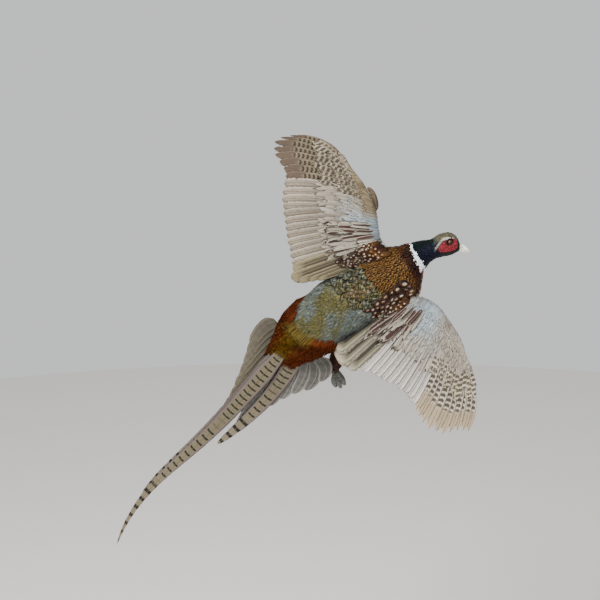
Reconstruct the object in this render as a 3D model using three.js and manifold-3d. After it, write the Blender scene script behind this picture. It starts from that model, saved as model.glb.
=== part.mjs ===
// Taxidermy cock ring-necked pheasant in flight, hung on a wall with its belly to the wall.
//
// Millimetres. +X right, +Z up, +Y into the wall. The wall is the plane y = 0 and the origin is the
// centre of the wall rosette's back face, so the whole bird lies at negative y.
// The trunk heads up and to the right; its back faces away from the wall (-Y). The neck turns
// a quarter so that the head is seen from its right side with the crown up.

import * as THREE from 'three';
import { mergeVertices } from 'three/addons/utils/BufferGeometryUtils.js';
import Module from 'manifold-3d';

const wasm = await Module();
wasm.setup();

// ---------------------------------------------------------------- driving dimensions
const GAP = 0.3; // clearance between neighbouring solids
const RING_SIDES = 24; // facets round the body
const RINGS_PER_STATION = 2; // rings between two named stations of the body

// The body is one loft through named stations. Each has its centre, the heading of the spine above
// the horizontal, the twist that turns the back from the viewer to the top, and the half sizes:
// side to side, centre to back and centre to belly.
const STATIONS = {
  rumpTip: { centre: [-128, -151, -108], heading: 44, twist: 0, side: 38, back: 9, belly: 12 },
  tailBase: { centre: [-105, -150, -84], heading: 40, twist: 0, side: 51, back: 21, belly: 26 },
  rump: { centre: [-65, -150, -54], heading: 36.5, twist: 0, side: 59, back: 35, belly: 43 },
  saddle: { centre: [-16, -150, -18], heading: 36.5, twist: 1, side: 65, back: 47, belly: 58 },
  back: { centre: [28, -150, 11], heading: 36.5, twist: 3, side: 67, back: 53, belly: 66 },
  mantle: { centre: [68, -151, 37], heading: 36.5, twist: 8, side: 65, back: 54, belly: 68 },
  shoulders: { centre: [97, -153, 52], heading: 38, twist: 16, side: 60, back: 50, belly: 62 },
  neckBase: { centre: [113, -157, 67], heading: 37, twist: 28, side: 43, back: 41, belly: 48 },
  collar: { centre: [127, -163, 80], heading: 30, twist: 44, side: 32, back: 32, belly: 34 },
  midNeck: { centre: [143, -168, 91], heading: 21, twist: 58, side: 24, back: 24, belly: 26 },
  nape: { centre: [159, -173, 97.5], heading: 11, twist: 67, side: 19.5, back: 20, belly: 20.5 },
  occiput: { centre: [174, -176, 103], heading: 4, twist: 72, side: 19.5, back: 25, belly: 21 },
  crown: { centre: [189, -178, 106.5], heading: -3, twist: 75, side: 18.5, back: 24.5, belly: 22 },
  brow: { centre: [200.5, -179, 105.5], heading: -8, twist: 77, side: 14.5, back: 19, belly: 18 },
  billBase: { centre: [209, -180, 101.5], heading: -12, twist: 78, side: 7.5, back: 8.5, belly: 8.5 },
};
const STATION_NAMES = Object.keys(STATIONS);

// Bill: two mandibles from the face, with a small hook at the tip.
const BILL_LENGTH = 23;
const BILL_HALF_WIDTH = 6.4;
const BILL_UPPER_HEIGHT = 8;
const BILL_LOWER_HEIGHT = 6.4;
const BILL_HOOK = 3.4;

// Face: the glass eye, and the bare red skin round it.
const EYE_RADIUS = 5.4;
const EYE_STATION = 12.12;
const EYE_ANGLE = 61; // from the crown round to the side
const EYE_SUNK = 3.2; // how far the ball's centre lies under the surface
const WATTLE_LENGTH = 41;
const WATTLE_HEIGHT = 26;
const WATTLE_THICKNESS = 1.8;
const WATTLE_CENTRE = [0.5, 3.5]; // forward and up from the head's centre line
const WATTLE_CLEARANCE = 0.9; // above the head, more than a gap since both are faceted

// Wings. u runs out from the shoulder at right angles to the spine and v runs back along it.
// Flight feathers are counted from the innermost tertial out to the tenth primary.
const SPINE_HEADING = 36.5;
const FEATHERS = 25;
const FIRST_SECONDARY = 5;
const FIRST_PRIMARY = 15;
const WING_RISE = 0.1; // how much the wing lifts off the wall as it runs out
const WING_CAMBER = 22; // drop of the trailing edge over WING_CAMBER_CHORD
const WING_CAMBER_CHORD = 220;
const WING_CREST = -50; // v where the wing stands highest
const COVERT_LINE = 0.4; // part of the chord held by the arm and its coverts
const CHORD_GAP = 0.004; // clear part of the chord between the arm and the flight feathers
const ROW_INSET = 0.05; // clear part of a feather's width at each end of a row
const NOTCHES = [[0, 0.05], [14, 0.03], [18, 0.07], [25, 0.13]]; // feather number, part of the chord
const ARM_DEPTHS = [[0, 26], [8, 20], [14, 14], [19, 7], [25, 3]]; // feather number, deepest
const ABOVE_MIDDLE = 0.35; // part of the arm's thickness above its middle surface
const VANE_THICKNESS = 1.6;
const LEADING_EDGE_THICKNESS = 3;
// Alulae: how many feathers along the edge each reaches, how far it stands forward, and its height.
const ALULAE = {
  left: { reach: 4.6, stand: 9, height: -5.5 },
  right: { reach: 5, stand: -9, height: 7.5 },
};
const WINGS = {
  left: {
    sign: 1,
    shoulder: [72, -180, 73],
    lead: [[0, 5, -18], [5, 40, -12], [10, 70, -24], [14.5, 95, -38], [19, 140, -50], [25, 195, -53]],
    trail: [[0, 50, 130], [3, 80, 177], [5, 105, 161], [14, 216, 98], [18, 262, 57], [21, 304, 48],
      [23, 320, 30], [25, 306, -2]],
    bow: [[0, 0], [14, 22], [25, 38]],
    tertialGap: 0,
  },
  right: {
    sign: -1,
    shoulder: [92, -180, 5],
    lead: [[0, 5, -6], [5, 35, -37], [10, 65, -49], [14.5, 95, -50], [19, 135, -48], [25, 178, -39]],
    trail: [[0, 8, 166], [2, 36, 181], [4.4, 64, 172], [5, 79, 152], [13, 170, 104], [17.5, 238, 112],
      [20, 272, 98], [22.5, 286, 66], [25, 299, 38]],
    bow: [[0, 0], [14, 12], [25, 24]],
    tertialGap: 0.18,
  },
};

// Tail. A long feather follows headings, in degrees below the horizontal, that change along it. Its
// width falls as a power (taper) of what is left of the length; layer is its height in the stack.
const TAIL_ROOT = [-119, -150, -89];
const TAIL_HEADING = 48;
const TAIL_VANE_THICKNESS = 1.4;
const TAIL_ROUND = 0.0022; // how the fan rounds down towards the wall at its sides
const TAIL_RISE = 15; // how far the tip stands further from the wall than the root
const TAIL_LENGTH = 600;
const LONG_FEATHERS = {
  tail_central_upper: {
    length: TAIL_LENGTH, headings: [[0, 50], [0.3, 48], [0.6, 42], [0.76, 49], [1, 70]],
    quill: 0, halfWidth: 17.5, taper: 0.8, layer: 8,
  },
  tail_central_lower: {
    length: 470, headings: [[0, 50], [0.39, 47], [0.78, 42], [1, 49]],
    quill: -4, halfWidth: 17, taper: 0.7, layer: 4.5,
  },
  tail_second_right: {
    length: 286, headings: [[0, 79], [0.2, 60], [0.45, 51], [0.7, 43], [1, 38]],
    quill: 13, halfWidth: 17, taper: 0.5, layer: 1.5,
  },
};
// Side feathers from the middle out: angle and distance of the tip from the root, how far to the
// side the quill starts, and how far the feather bulges outwards.
const TAIL_FANS = {
  right: {
    side: 1,
    layer: -1.5,
    feathers: [[49, 262, 4, 0], [57.5, 232, 8, 0], [64, 180, 14, 2], [70, 155, 20, 4], [77.5, 135, 27, 7],
      [88, 121, 36, 11], [101, 117, 47, 16], [120, 111, 60, 14]],
  },
  left: {
    side: -1,
    layer: -4,
    feathers: [[50, 262, 4, 0], [45, 216, 8, 0], [43, 188, 14, 2], [39.5, 163, 20, 4], [35.5, 141, 27, 7],
      [30.5, 123, 34, 9], [24, 107, 42, 11], [14, 94, 52, 10]],
  },
};

// Legs, tucked back under the tail with the toes clenched.
const LEGS = {
  right: {
    hip: [-2, -104, -60], hock: [-36, -84, -146], ankle: [-40, -52, -178],
    toeTip: [-28, -46, -221], toeSpread: [10.5, 0, 2.5], curl: [0, 16, 0],
  },
  left: {
    hip: [-46, -104, 2], hock: [-104, -84, -46], ankle: [-121, -54, -84],
    toeTip: [-134, -46, -124], toeSpread: [11, 0, -6], curl: [0, 15, 0],
  },
};
const THIGH_RADIUS = 25;
const HOCK_RADIUS = 10;
const HEEL_RADIUS = 5.6;
const TARSUS_RADIUS = 4.6;
const TOE_RADIUS = 4.6;
const CLAW_RADIUS = 1.2;
const HIND_TOE_SCALE = 0.45;
const SPUR_LENGTH = 13;
const SPUR_RADIUS = 3;

// Wall stand: a turned wooden rosette and a steel rod into the belly.
const ROSETTE_RADIUS = 42;
const ROSETTE_THICKNESS = 14;
const ROSETTE_COVE = 5;
const FLANGE_RADIUS = 15;
const FLANGE_THICKNESS = 3;
const ROD_RADIUS = 5;
const ROD_REACH = 110; // how far the rod would run from the wall if the belly did not stop it

// ---------------------------------------------------------------- small helpers
const vec = (p) => new THREE.Vector3(...p);
const radians = THREE.MathUtils.degToRad;

/** Value of a row of [position, a, b, ...] points at a position, joined by smooth curves. */
function along(rows, position) {
  const last = rows.length - 2;
  let i = 0;
  while (i < last && position > rows[i + 1][0]) i += 1;
  const [before, from, to, after] = [rows[Math.max(i - 1, 0)], rows[i], rows[i + 1],
    rows[Math.min(i + 2, rows.length - 1)]];
  const span = to[0] - from[0];
  const t = (position - from[0]) / span;
  return from.slice(1).map((value, axis) => {
    const end = to[axis + 1];
    const slopeIn = (end - before[axis + 1]) / (to[0] - before[0]) * span;
    const slopeOut = (after[axis + 1] - value) / (after[0] - from[0]) * span;
    return value + t * (slopeIn + t * (3 * (end - value) - 2 * slopeIn - slopeOut
      + t * (2 * (value - end) + slopeIn + slopeOut)));
  });
}

/** A closed geometry from points and triangles, turned so that its faces point out. */
function solid(points, triangles) {
  let volume = 0;
  for (const [a, b, c] of triangles) {
    volume += points[a].dot(new THREE.Vector3().crossVectors(points[b], points[c]));
  }
  const faces = volume > 0 ? triangles : triangles.map(([a, b, c]) => [a, c, b]);
  const geometry = new THREE.BufferGeometry();
  geometry.setAttribute('position', new THREE.Float32BufferAttribute(points.flatMap((p) => p.toArray()), 3));
  geometry.setIndex(faces.flat());
  return geometry;
}

/** A loft through rings of equal count, closed with a fan at each end. */
function loft(rings) {
  const sides = rings[0].length;
  const points = rings.flat();
  const triangles = [];
  for (let r = 0; r + 1 < rings.length; r += 1) {
    for (let s = 0; s < sides; s += 1) {
      const a = r * sides + s;
      const b = r * sides + (s + 1) % sides;
      triangles.push([a, b, b + sides], [a, b + sides, a + sides]);
    }
  }
  for (const [ring, flip] of [[0, true], [rings.length - 1, false]]) {
    const centre = new THREE.Vector3();
    rings[ring].forEach((p) => centre.addScaledVector(p, 1 / sides));
    points.push(centre);
    for (let s = 0; s < sides; s += 1) {
      const a = ring * sides + s;
      const b = ring * sides + (s + 1) % sides;
      triangles.push(flip ? [b, a, points.length - 1] : [a, b, points.length - 1]);
    }
  }
  return solid(points, triangles);
}

/** A ring-shaped body: closed loops of points, each joined to the next and the last to the first. */
function ringSolid(loops) {
  const sides = loops[0].length;
  const triangles = [];
  for (let r = 0; r < loops.length; r += 1) {
    const next = (r + 1) % loops.length;
    for (let s = 0; s < sides; s += 1) {
      const [a, b] = [r * sides + s, r * sides + (s + 1) % sides];
      const [c, d] = [next * sides + (s + 1) % sides, next * sides + s];
      triangles.push([a, b, c], [a, c, d]);
    }
  }
  return solid(loops.flat(), triangles);
}

/** A thin curved plate between two grids of points. */
function slab(top, bottom) {
  const columns = top.length;
  const rows = top[0].length;
  const points = [...top.flat(), ...bottom.flat()];
  const under = columns * rows;
  const triangles = [];
  const quad = (a, b, c, d) => triangles.push([a, b, c], [a, c, d]);
  for (let i = 0; i + 1 < columns; i += 1) {
    for (let j = 0; j + 1 < rows; j += 1) {
      const a = i * rows + j;
      quad(a, a + 1, a + rows + 1, a + rows);
      quad(under + a, under + a + rows, under + a + rows + 1, under + a + 1);
    }
    const first = i * rows;
    const last = first + rows - 1;
    quad(first, first + rows, under + first + rows, under + first);
    quad(last, under + last, under + last + rows, last + rows);
  }
  for (let j = 0; j + 1 < rows; j += 1) {
    const far = (columns - 1) * rows + j;
    quad(j, under + j, under + j + 1, j + 1);
    quad(far, far + 1, under + far + 1, under + far);
  }
  return solid(points, triangles);
}

/** A round tapered limb through points, each with its own radius. */
function limb(points, radii, sides = 8, steps = 5) {
  const curve = new THREE.CatmullRomCurve3(points);
  const frames = curve.computeFrenetFrames(steps);
  const rings = [];
  for (let i = 0; i <= steps; i += 1) {
    const t = i / steps;
    const [radius] = along(radii.map((r, k) => [k / (radii.length - 1), r]), t);
    const centre = curve.getPointAt(t);
    rings.push(Array.from({ length: sides }, (_, s) => {
      const turn = (s / sides) * 2 * Math.PI;
      return centre.clone()
        .addScaledVector(frames.normals[i], radius * Math.cos(turn))
        .addScaledVector(frames.binormals[i], radius * Math.sin(turn));
    }));
  }
  return loft(rings);
}

/** three.js geometry to a manifold solid, for joining and cutting. */
function toManifold(geometry) {
  const bare = geometry.clone();
  bare.deleteAttribute('normal');
  bare.deleteAttribute('uv');
  const merged = mergeVertices(bare, 1e-4);
  return new wasm.Manifold(new wasm.Mesh({
    numProp: 3,
    vertProperties: new Float32Array(merged.attributes.position.array),
    triVerts: new Uint32Array(merged.index.array),
  }));
}

function fromManifold(shape) {
  const mesh = shape.getMesh();
  const geometry = new THREE.BufferGeometry();
  geometry.setAttribute('position', new THREE.BufferAttribute(new Float32Array(mesh.vertProperties), 3));
  geometry.setIndex(Array.from(mesh.triVerts));
  return geometry;
}

const biggestPiece = (shape) => shape.decompose().sort((a, b) => b.volume() - a.volume())[0];
const cut = (geometry, ...tools) => fromManifold(
  biggestPiece(tools.reduce((left, tool) => left.subtract(tool), toManifold(geometry))),
);
const join = (...geometries) => fromManifold(
  geometries.map(toManifold).reduce((all, shape) => all.add(shape)),
);

// ---------------------------------------------------------------- body loft
const stationRows = STATION_NAMES.map((name, i) => {
  const { centre, heading, twist, side, back, belly } = STATIONS[name];
  return [i, ...centre, heading, twist, side, back, belly];
});
const stationIndex = (name) => STATION_NAMES.indexOf(name);

/** Centre, axes and half sizes of the body at a station number, whole or between two. */
function bodyFrame(station) {
  const [x, y, z, heading, twist, side, back, belly] = along(stationRows, station);
  const h = radians(heading);
  const t = radians(twist);
  const forward = new THREE.Vector3(Math.cos(h), 0, Math.sin(h));
  const back3 = new THREE.Vector3(-Math.sin(h) * Math.sin(t), -Math.cos(t), Math.cos(h) * Math.sin(t));
  const left = new THREE.Vector3().crossVectors(back3, forward);
  return { centre: new THREE.Vector3(x, y, z), forward, up: back3, left, side, back, belly };
}

/** A point on the body's surface; the angle turns from the back towards the bird's left. */
function bodyPoint(station, angle, grow = 0) {
  const f = bodyFrame(station);
  const rise = Math.cos(angle);
  const height = rise > 0 ? f.back : f.belly;
  return f.centre.clone()
    .addScaledVector(f.up, rise * (height + grow))
    .addScaledVector(f.left, Math.sin(angle) * (f.side + grow));
}

/** The body between two station numbers, grown or not by a clearance. */
function bodySolid(from, to, grow = 0) {
  const count = Math.max(2, Math.ceil((to - from) * RINGS_PER_STATION));
  return loft(Array.from({ length: count + 1 }, (_, i) => {
    const station = from + (to - from) * (i / count);
    return Array.from({ length: RING_SIDES }, (__, s) => (
      bodyPoint(station, (s / RING_SIDES) * 2 * Math.PI, grow)));
  }));
}

const lastStation = STATION_NAMES.length - 1;
const wholeBody = toManifold(bodySolid(0, lastStation, GAP));

/** Station number a given distance before or after a named one, for the thin cuts. */
function beside(name, distance) {
  const at = stationIndex(name);
  const step = Math.sign(distance) * 0.1;
  const reach = bodyFrame(at).centre.distanceTo(bodyFrame(at + step).centre);
  return at + (step * Math.abs(distance)) / reach;
}

/** A length of the body from just after one named station to just before another. */
function bodyLength(from, to) {
  const start = from === STATION_NAMES[0] ? 0 : beside(from, GAP / 2);
  const end = to === STATION_NAMES[lastStation] ? lastStation : beside(to, -GAP / 2);
  return bodySolid(start, end);
}

// ---------------------------------------------------------------- head
const headFrame = bodyFrame(EYE_STATION);

/** Centre of the eyeball on one side: +1 the bird's left, -1 its right. */
function eyeCentre(side) {
  const angle = side * radians(EYE_ANGLE);
  const surface = bodyPoint(EYE_STATION, angle);
  const inwards = headFrame.centre.clone().sub(surface).normalize();
  return surface.addScaledVector(inwards, EYE_SUNK);
}

function eyeball(side, grow = 0) {
  const centre = eyeCentre(side);
  return new THREE.SphereGeometry(EYE_RADIUS + grow, 10, 7).translate(centre.x, centre.y, centre.z);
}

/** Bare skin of the face: a thin ring on the side of the head, from the eye out to an oval edge. */
function wattle(side) {
  const { forward, up, centre, back } = headFrame;
  const middle = new THREE.Vector2(...WATTLE_CENTRE);
  const eye = eyeCentre(side).sub(centre);
  const eyeAt = new THREE.Vector2(eye.dot(forward), eye.dot(up));
  const stationStep = bodyFrame(EYE_STATION + 0.5).centre.distanceTo(bodyFrame(EYE_STATION - 0.5).centre);
  const onHead = (at, grow) => {
    const station = EYE_STATION + at.x / stationStep;
    const angle = Math.acos(THREE.MathUtils.clamp(at.y / back, -1, 1));
    return bodyPoint(station, side * angle, grow);
  };
  const steps = [0, 0.5, 1];
  const around = 16;
  const faces = [[WATTLE_CLEARANCE, steps], [WATTLE_CLEARANCE + WATTLE_THICKNESS, [...steps].reverse()]];
  const rings = faces.flatMap(([grow, shares]) => (
    shares.map((share) => Array.from({ length: around }, (_, s) => {
      const turn = (s / around) * 2 * Math.PI;
      const spoke = new THREE.Vector2(Math.cos(turn), Math.sin(turn));
      const inner = eyeAt.clone().addScaledVector(spoke, EYE_RADIUS + 2 * GAP);
      const outer = middle.clone().add(new THREE.Vector2(
        (WATTLE_LENGTH / 2) * spoke.x, (WATTLE_HEIGHT / 2) * spoke.y));
      return onHead(inner.lerp(outer, share), grow);
    }))));
  return ringSolid(rings);
}

/** One mandible: half-ellipse rings from the face to the tip. */
function mandible(isUpper) {
  const base = bodyFrame(lastStation);
  const length = isUpper ? BILL_LENGTH : BILL_LENGTH - 4;
  const height = isUpper ? BILL_UPPER_HEIGHT : BILL_LOWER_HEIGHT;
  const direction = isUpper ? 1 : -1;
  const sides = 12;
  const rings = [0, 0.3, 0.6, 0.8, 0.93, 1].map((t) => {
    const taper = Math.sqrt(Math.max(1 - t ** 1.7, 0.03));
    const droop = -BILL_HOOK * t ** 2.2;
    const centre = base.centre.clone()
      .addScaledVector(base.forward, GAP + t * length)
      .addScaledVector(base.up, droop + direction * GAP / 2 - 1);
    return Array.from({ length: sides }, (_, s) => {
      const turn = (s / (sides - 1)) * Math.PI;
      return centre.clone()
        .addScaledVector(base.left, BILL_HALF_WIDTH * taper * Math.cos(turn))
        .addScaledVector(base.up, direction * height * taper * Math.sin(turn));
    });
  });
  return loft(rings);
}

// ---------------------------------------------------------------- wings
const spine = radians(SPINE_HEADING);
const spineForward = new THREE.Vector3(Math.cos(spine), 0, Math.sin(spine));
const spineLeft = new THREE.Vector3(-Math.sin(spine), 0, Math.cos(spine));

const wingLift = (u, v) => WING_RISE * u - WING_CAMBER * ((v - WING_CREST) / WING_CAMBER_CHORD) ** 2;

function wingPoint(wing, u, v, height) {
  return vec(wing.shoulder)
    .addScaledVector(spineLeft, wing.sign * u)
    .addScaledVector(spineForward, -v)
    .add(new THREE.Vector3(0, -(wingLift(u, v) + height), 0));
}

/** A point in the wing's plan: feather number across, part of the chord along a bowed line. */
function planPoint(wing, feather, chord) {
  const [leadU, leadV] = along(wing.lead, feather);
  const [trailU, trailV] = along(wing.trail, feather);
  const [bow] = along(wing.bow, feather);
  const run = new THREE.Vector2(trailU - leadU, trailV - leadV);
  const length = run.length();
  const bulge = 2 * chord * (1 - chord) * bow;
  return [
    leadU + run.x * chord + (run.y / length) * bulge,
    leadV + run.y * chord - (run.x / length) * bulge,
  ];
}

/** Depth of the notch between neighbouring feather tips, as a part of the chord. */
const notchDepth = (feather) => along(NOTCHES, feather)[0];

/** Thickness of the arm: deepest at a fifth of the chord, and thinner towards the hand. */
function armThickness(feather, chord) {
  const [deepest] = along(ARM_DEPTHS, feather);
  const hump = Math.sin(Math.PI * Math.min(1, chord / COVERT_LINE) ** 0.75);
  return LEADING_EDGE_THICKNESS + (deepest - LEADING_EDGE_THICKNESS) * hump;
}

/** Flight feathers from one number to another as one plate with a notched edge. */
function featherPlate(wing, from, to, rows) {
  const perFeather = 2;
  const columns = Math.round((to - from) * perFeather);
  const start = COVERT_LINE + CHORD_GAP;
  const top = [];
  const bottom = [];
  for (let i = 0; i <= columns; i += 1) {
    const feather = from + ROW_INSET + (to - from - 2 * ROW_INSET) * (i / columns);
    const acrossOne = Math.abs(((i % perFeather) / perFeather) * 2 - 1);
    const end = 1 - notchDepth(feather) * acrossOne ** 2;
    const column = (height) => Array.from({ length: rows + 1 }, (_, j) => {
      const chord = start + (end - start) * (j / rows);
      return wingPoint(wing, ...planPoint(wing, feather, chord), height);
    });
    top.push(column(VANE_THICKNESS / 2));
    bottom.push(column(-VANE_THICKNESS / 2));
  }
  return slab(top, bottom);
}

/** Arm or hand with its coverts, between two feather numbers. */
function armPlate(wing, from, to) {
  const columns = Math.round(to - from);
  const chords = [0, 0.03, 0.1, 0.2, 0.3, COVERT_LINE - CHORD_GAP];
  const top = [];
  const bottom = [];
  for (let i = 0; i <= columns; i += 1) {
    const feather = from + ROW_INSET + (to - from - 2 * ROW_INSET) * (i / columns);
    const column = (share) => chords.map((chord) => (
      wingPoint(wing, ...planPoint(wing, feather, chord), share * armThickness(feather, chord))));
    top.push(column(ABOVE_MIDDLE));
    bottom.push(column(ABOVE_MIDDLE - 1));
  }
  return slab(top, bottom);
}

/** The alula: a small blade at the wrist. The left one stands forward of the edge. */
function alula(wing, reach, stand, height) {
  const steps = 6;
  const top = [];
  const bottom = [];
  for (let i = 0; i <= steps; i += 1) {
    const t = i / steps;
    const feather = 14.5 + reach * t;
    const [u, v] = planPoint(wing, feather, 0);
    const half = 1.5 + 6.5 * Math.sin(Math.PI * Math.min(1, 0.12 + 0.86 * t)) ** 0.7;
    const centre = v - stand * Math.sin(Math.PI * (0.1 + 0.75 * t));
    const column = (lift) => [-1, 0, 1].map((across) => (
      wingPoint(wing, u, centre + across * half, height + lift)));
    top.push(column(VANE_THICKNESS / 2));
    bottom.push(column(-VANE_THICKNESS / 2));
  }
  return slab(top, bottom);
}

// ---------------------------------------------------------------- tail
const tailRoot = vec(TAIL_ROOT);
const tailSide = new THREE.Vector3(Math.sin(radians(TAIL_HEADING)), 0, -Math.cos(radians(TAIL_HEADING)));

/** Depth of the tail's surface at a point: it rises to the tip and rounds down at the sides. */
function tailDepth(point, height) {
  const offset = point.clone().sub(tailRoot);
  offset.y = 0;
  const across = offset.dot(tailSide);
  const rise = TAIL_RISE * (offset.length() / TAIL_LENGTH) ** 1.5;
  return TAIL_ROOT[1] - rise - height + TAIL_ROUND * across ** 2;
}

/** A long tail feather: a curved strip that narrows to its tip. */
function longTailFeather({ length, headings, quill, halfWidth, taper, layer }) {
  const steps = 18;
  const hidden = 0.04; // part of the feather that stays inside the body
  const top = [];
  const bottom = [];
  const centre = tailRoot.clone().addScaledVector(tailSide, quill);
  for (let i = 0; i <= steps; i += 1) {
    const t = i / steps;
    const angle = radians(along(headings, t)[0]);
    const step = new THREE.Vector3(-Math.cos(angle), 0, -Math.sin(angle)).multiplyScalar(length / steps);
    if (i > 0) centre.add(step);
    if (t < hidden) continue;
    const half = halfWidth * Math.min(0.8 + 2 * t, 1) * (1 - t) ** taper + 0.7;
    const side = new THREE.Vector3(-Math.sin(angle), 0, Math.cos(angle));
    const column = (height) => [-1, 0, 1].map((across) => {
      const point = centre.clone().addScaledVector(side, across * half);
      const crown = 1.6 * (1 - Math.abs(across)) * (half / halfWidth);
      point.y = tailDepth(point, layer + height + crown);
      return point;
    });
    top.push(column(TAIL_VANE_THICKNESS / 2));
    bottom.push(column(-TAIL_VANE_THICKNESS / 2));
  }
  return slab(top, bottom);
}

/** The spread side feathers of the tail as one plate with notched tips. */
function tailFan({ side, layer, feathers }) {
  const perFeather = 2;
  const rows = 3;
  const numbered = feathers.map((feather, i) => [i, ...feather]);
  const columns = (feathers.length - 1) * perFeather;
  const top = [];
  const bottom = [];
  for (let i = 0; i <= columns; i += 1) {
    const [angle, length, quill, bulge] = along(numbered, i / perFeather);
    const a = radians(angle);
    const base = tailRoot.clone().addScaledVector(tailSide, side * quill);
    const tip = tailRoot.clone().add(new THREE.Vector3(-Math.cos(a), 0, -Math.sin(a)).multiplyScalar(length));
    const run = tip.clone().sub(base);
    const outward = new THREE.Vector3(-run.z, 0, run.x).normalize().multiplyScalar(side);
    const end = (i % perFeather) === 0 ? 1 : 0.96;
    const column = (height) => Array.from({ length: rows + 1 }, (_, j) => {
      const share = end * (j / rows);
      const point = base.clone().addScaledVector(run, share)
        .addScaledVector(outward, 4 * bulge * share * (1 - share));
      point.y = tailDepth(point, layer + height);
      return point;
    });
    top.push(column(TAIL_VANE_THICKNESS / 2));
    bottom.push(column(-TAIL_VANE_THICKNESS / 2));
  }
  return slab(top, bottom);
}

// ---------------------------------------------------------------- legs
function thigh(leg) {
  const hip = vec(leg.hip);
  const hock = vec(leg.hock);
  const radii = [THIGH_RADIUS, THIGH_RADIUS * 0.8, HOCK_RADIUS];
  const shape = limb([hip, hip.clone().lerp(hock, 0.5), hock], radii, 12, 5);
  return cut(shape, wholeBody);
}

function tarsus(leg) {
  const hock = vec(leg.hock);
  const ankle = vec(leg.ankle);
  const direction = ankle.clone().sub(hock).normalize();
  const start = hock.clone().addScaledVector(direction, GAP);
  const shankRadii = [HEEL_RADIUS, TARSUS_RADIUS, TARSUS_RADIUS];
  const shank = limb([start, start.clone().lerp(ankle, 0.5), ankle], shankRadii);
  const spurRoot = start.clone().lerp(ankle, 0.62);
  const spurDirection = new THREE.Vector3(0, 1, 0).cross(direction).normalize();
  const spurTip = spurRoot.clone().addScaledVector(spurDirection, SPUR_LENGTH);
  const spur = limb([spurRoot, spurRoot.clone().lerp(spurTip, 0.6), spurTip],
    [SPUR_RADIUS, SPUR_RADIUS * 0.7, 0.5], 6, 3);
  return cut(join(shank, spur), toManifold(thigh(leg)));
}

/** Foot with three front toes and a hind toe, curled into a loose fist. */
function foot(leg) {
  const ankle = vec(leg.ankle);
  const tip = vec(leg.toeTip);
  const spread = vec(leg.toeSpread);
  const curl = vec(leg.curl);
  const toe = (across, reach) => {
    const end = ankle.clone().lerp(tip, reach).addScaledVector(spread, across);
    const knuckle = ankle.clone().lerp(end, 0.55).addScaledVector(spread, across * 0.4)
      .addScaledVector(curl, -0.5);
    const claw = end.clone().addScaledVector(curl, 0.55).lerp(ankle, 0.1);
    return limb([ankle, knuckle, end, claw], [TOE_RADIUS, TOE_RADIUS, TOE_RADIUS * 0.75, CLAW_RADIUS], 6, 6);
  };
  const toes = [toe(-1, 0.88), toe(0, 1), toe(1, 0.88)];
  const hindEnd = ankle.clone().addScaledVector(curl, 1.1).lerp(tip, HIND_TOE_SCALE);
  const hind = limb([ankle, ankle.clone().lerp(hindEnd, 0.5).addScaledVector(curl, 0.3), hindEnd],
    [TOE_RADIUS, TOE_RADIUS * 0.8, CLAW_RADIUS], 6, 4);
  return cut(join(...toes, hind), toManifold(tarsus(leg)));
}

// ---------------------------------------------------------------- stand
function rosette() {
  const r = ROSETTE_RADIUS;
  const t = ROSETTE_THICKNESS;
  const profile = [[0, 0], [r, 0], [r, t - ROSETTE_COVE - 3], [r - 2, t - ROSETTE_COVE],
    [r - ROSETTE_COVE, t - 1.5], [r - ROSETTE_COVE - 3, t], [0, t]];
  const geometry = new THREE.LatheGeometry(profile.map(([x, y]) => new THREE.Vector2(x, y)), 24);
  return geometry.rotateX(Math.PI);
}

function rod() {
  const start = ROSETTE_THICKNESS + GAP;
  const profile = [[0, start], [FLANGE_RADIUS, start], [FLANGE_RADIUS, start + FLANGE_THICKNESS],
    [ROD_RADIUS, start + FLANGE_THICKNESS], [ROD_RADIUS, ROD_REACH], [0, ROD_REACH]];
  const geometry = new THREE.LatheGeometry(profile.map(([x, y]) => new THREE.Vector2(x, y)), 16);
  return cut(geometry.rotateX(Math.PI), wholeBody);
}

// ---------------------------------------------------------------- assembly
const FINISHES = {
  headPlumage: [0x0d1c1e, 0.5, 0.1],
  mantlePlumage: [0x7d4a1c, 0.75, 0],
  rumpPlumage: [0x8a8c68, 0.8, 0],
  wingCoverts: [0xb1b3ac, 0.8, 0],
  vanes: [0xb9a98f, 0.75, 0],
  tailVanes: [0xa99c7d, 0.75, 0],
  thighPlumage: [0x4a2a1c, 0.85, 0],
  redSkin: [0xb5202f, 0.6, 0],
  horn: [0xe0dacd, 0.4, 0],
  glass: [0x3a2a16, 0.08, 0],
  scales: [0x5b5c58, 0.6, 0],
  wood: [0x6b4a2c, 0.5, 0],
  steel: [0x8d9094, 0.35, 0.9],
};

const pheasant = new THREE.Group();

function add(parent, name, geometry, finish) {
  const [color, roughness, metalness] = FINISHES[finish];
  const mesh = new THREE.Mesh(geometry, new THREE.MeshStandardMaterial({ color, roughness, metalness }));
  mesh.name = name;
  parent.add(mesh);
}

const body = new THREE.Group();
const eyeSockets = [1, -1].map((side) => toManifold(eyeball(side, GAP)));
add(body, 'head', cut(bodyLength('nape', 'billBase'), ...eyeSockets), 'headPlumage');
add(body, 'neck', bodyLength('neckBase', 'nape'), 'headPlumage');
add(body, 'trunk', bodyLength('rump', 'neckBase'), 'mantlePlumage');
add(body, 'rump', bodyLength('rumpTip', 'rump'), 'rumpPlumage');
add(body, 'bill_upper', mandible(true), 'horn');
add(body, 'bill_lower', mandible(false), 'horn');
for (const [side, sign] of [['left', 1], ['right', -1]]) {
  add(body, `eye_${side}`, eyeball(sign), 'glass');
  add(body, `wattle_${side}`, wattle(sign), 'redSkin');
}
pheasant.add(body);

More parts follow.
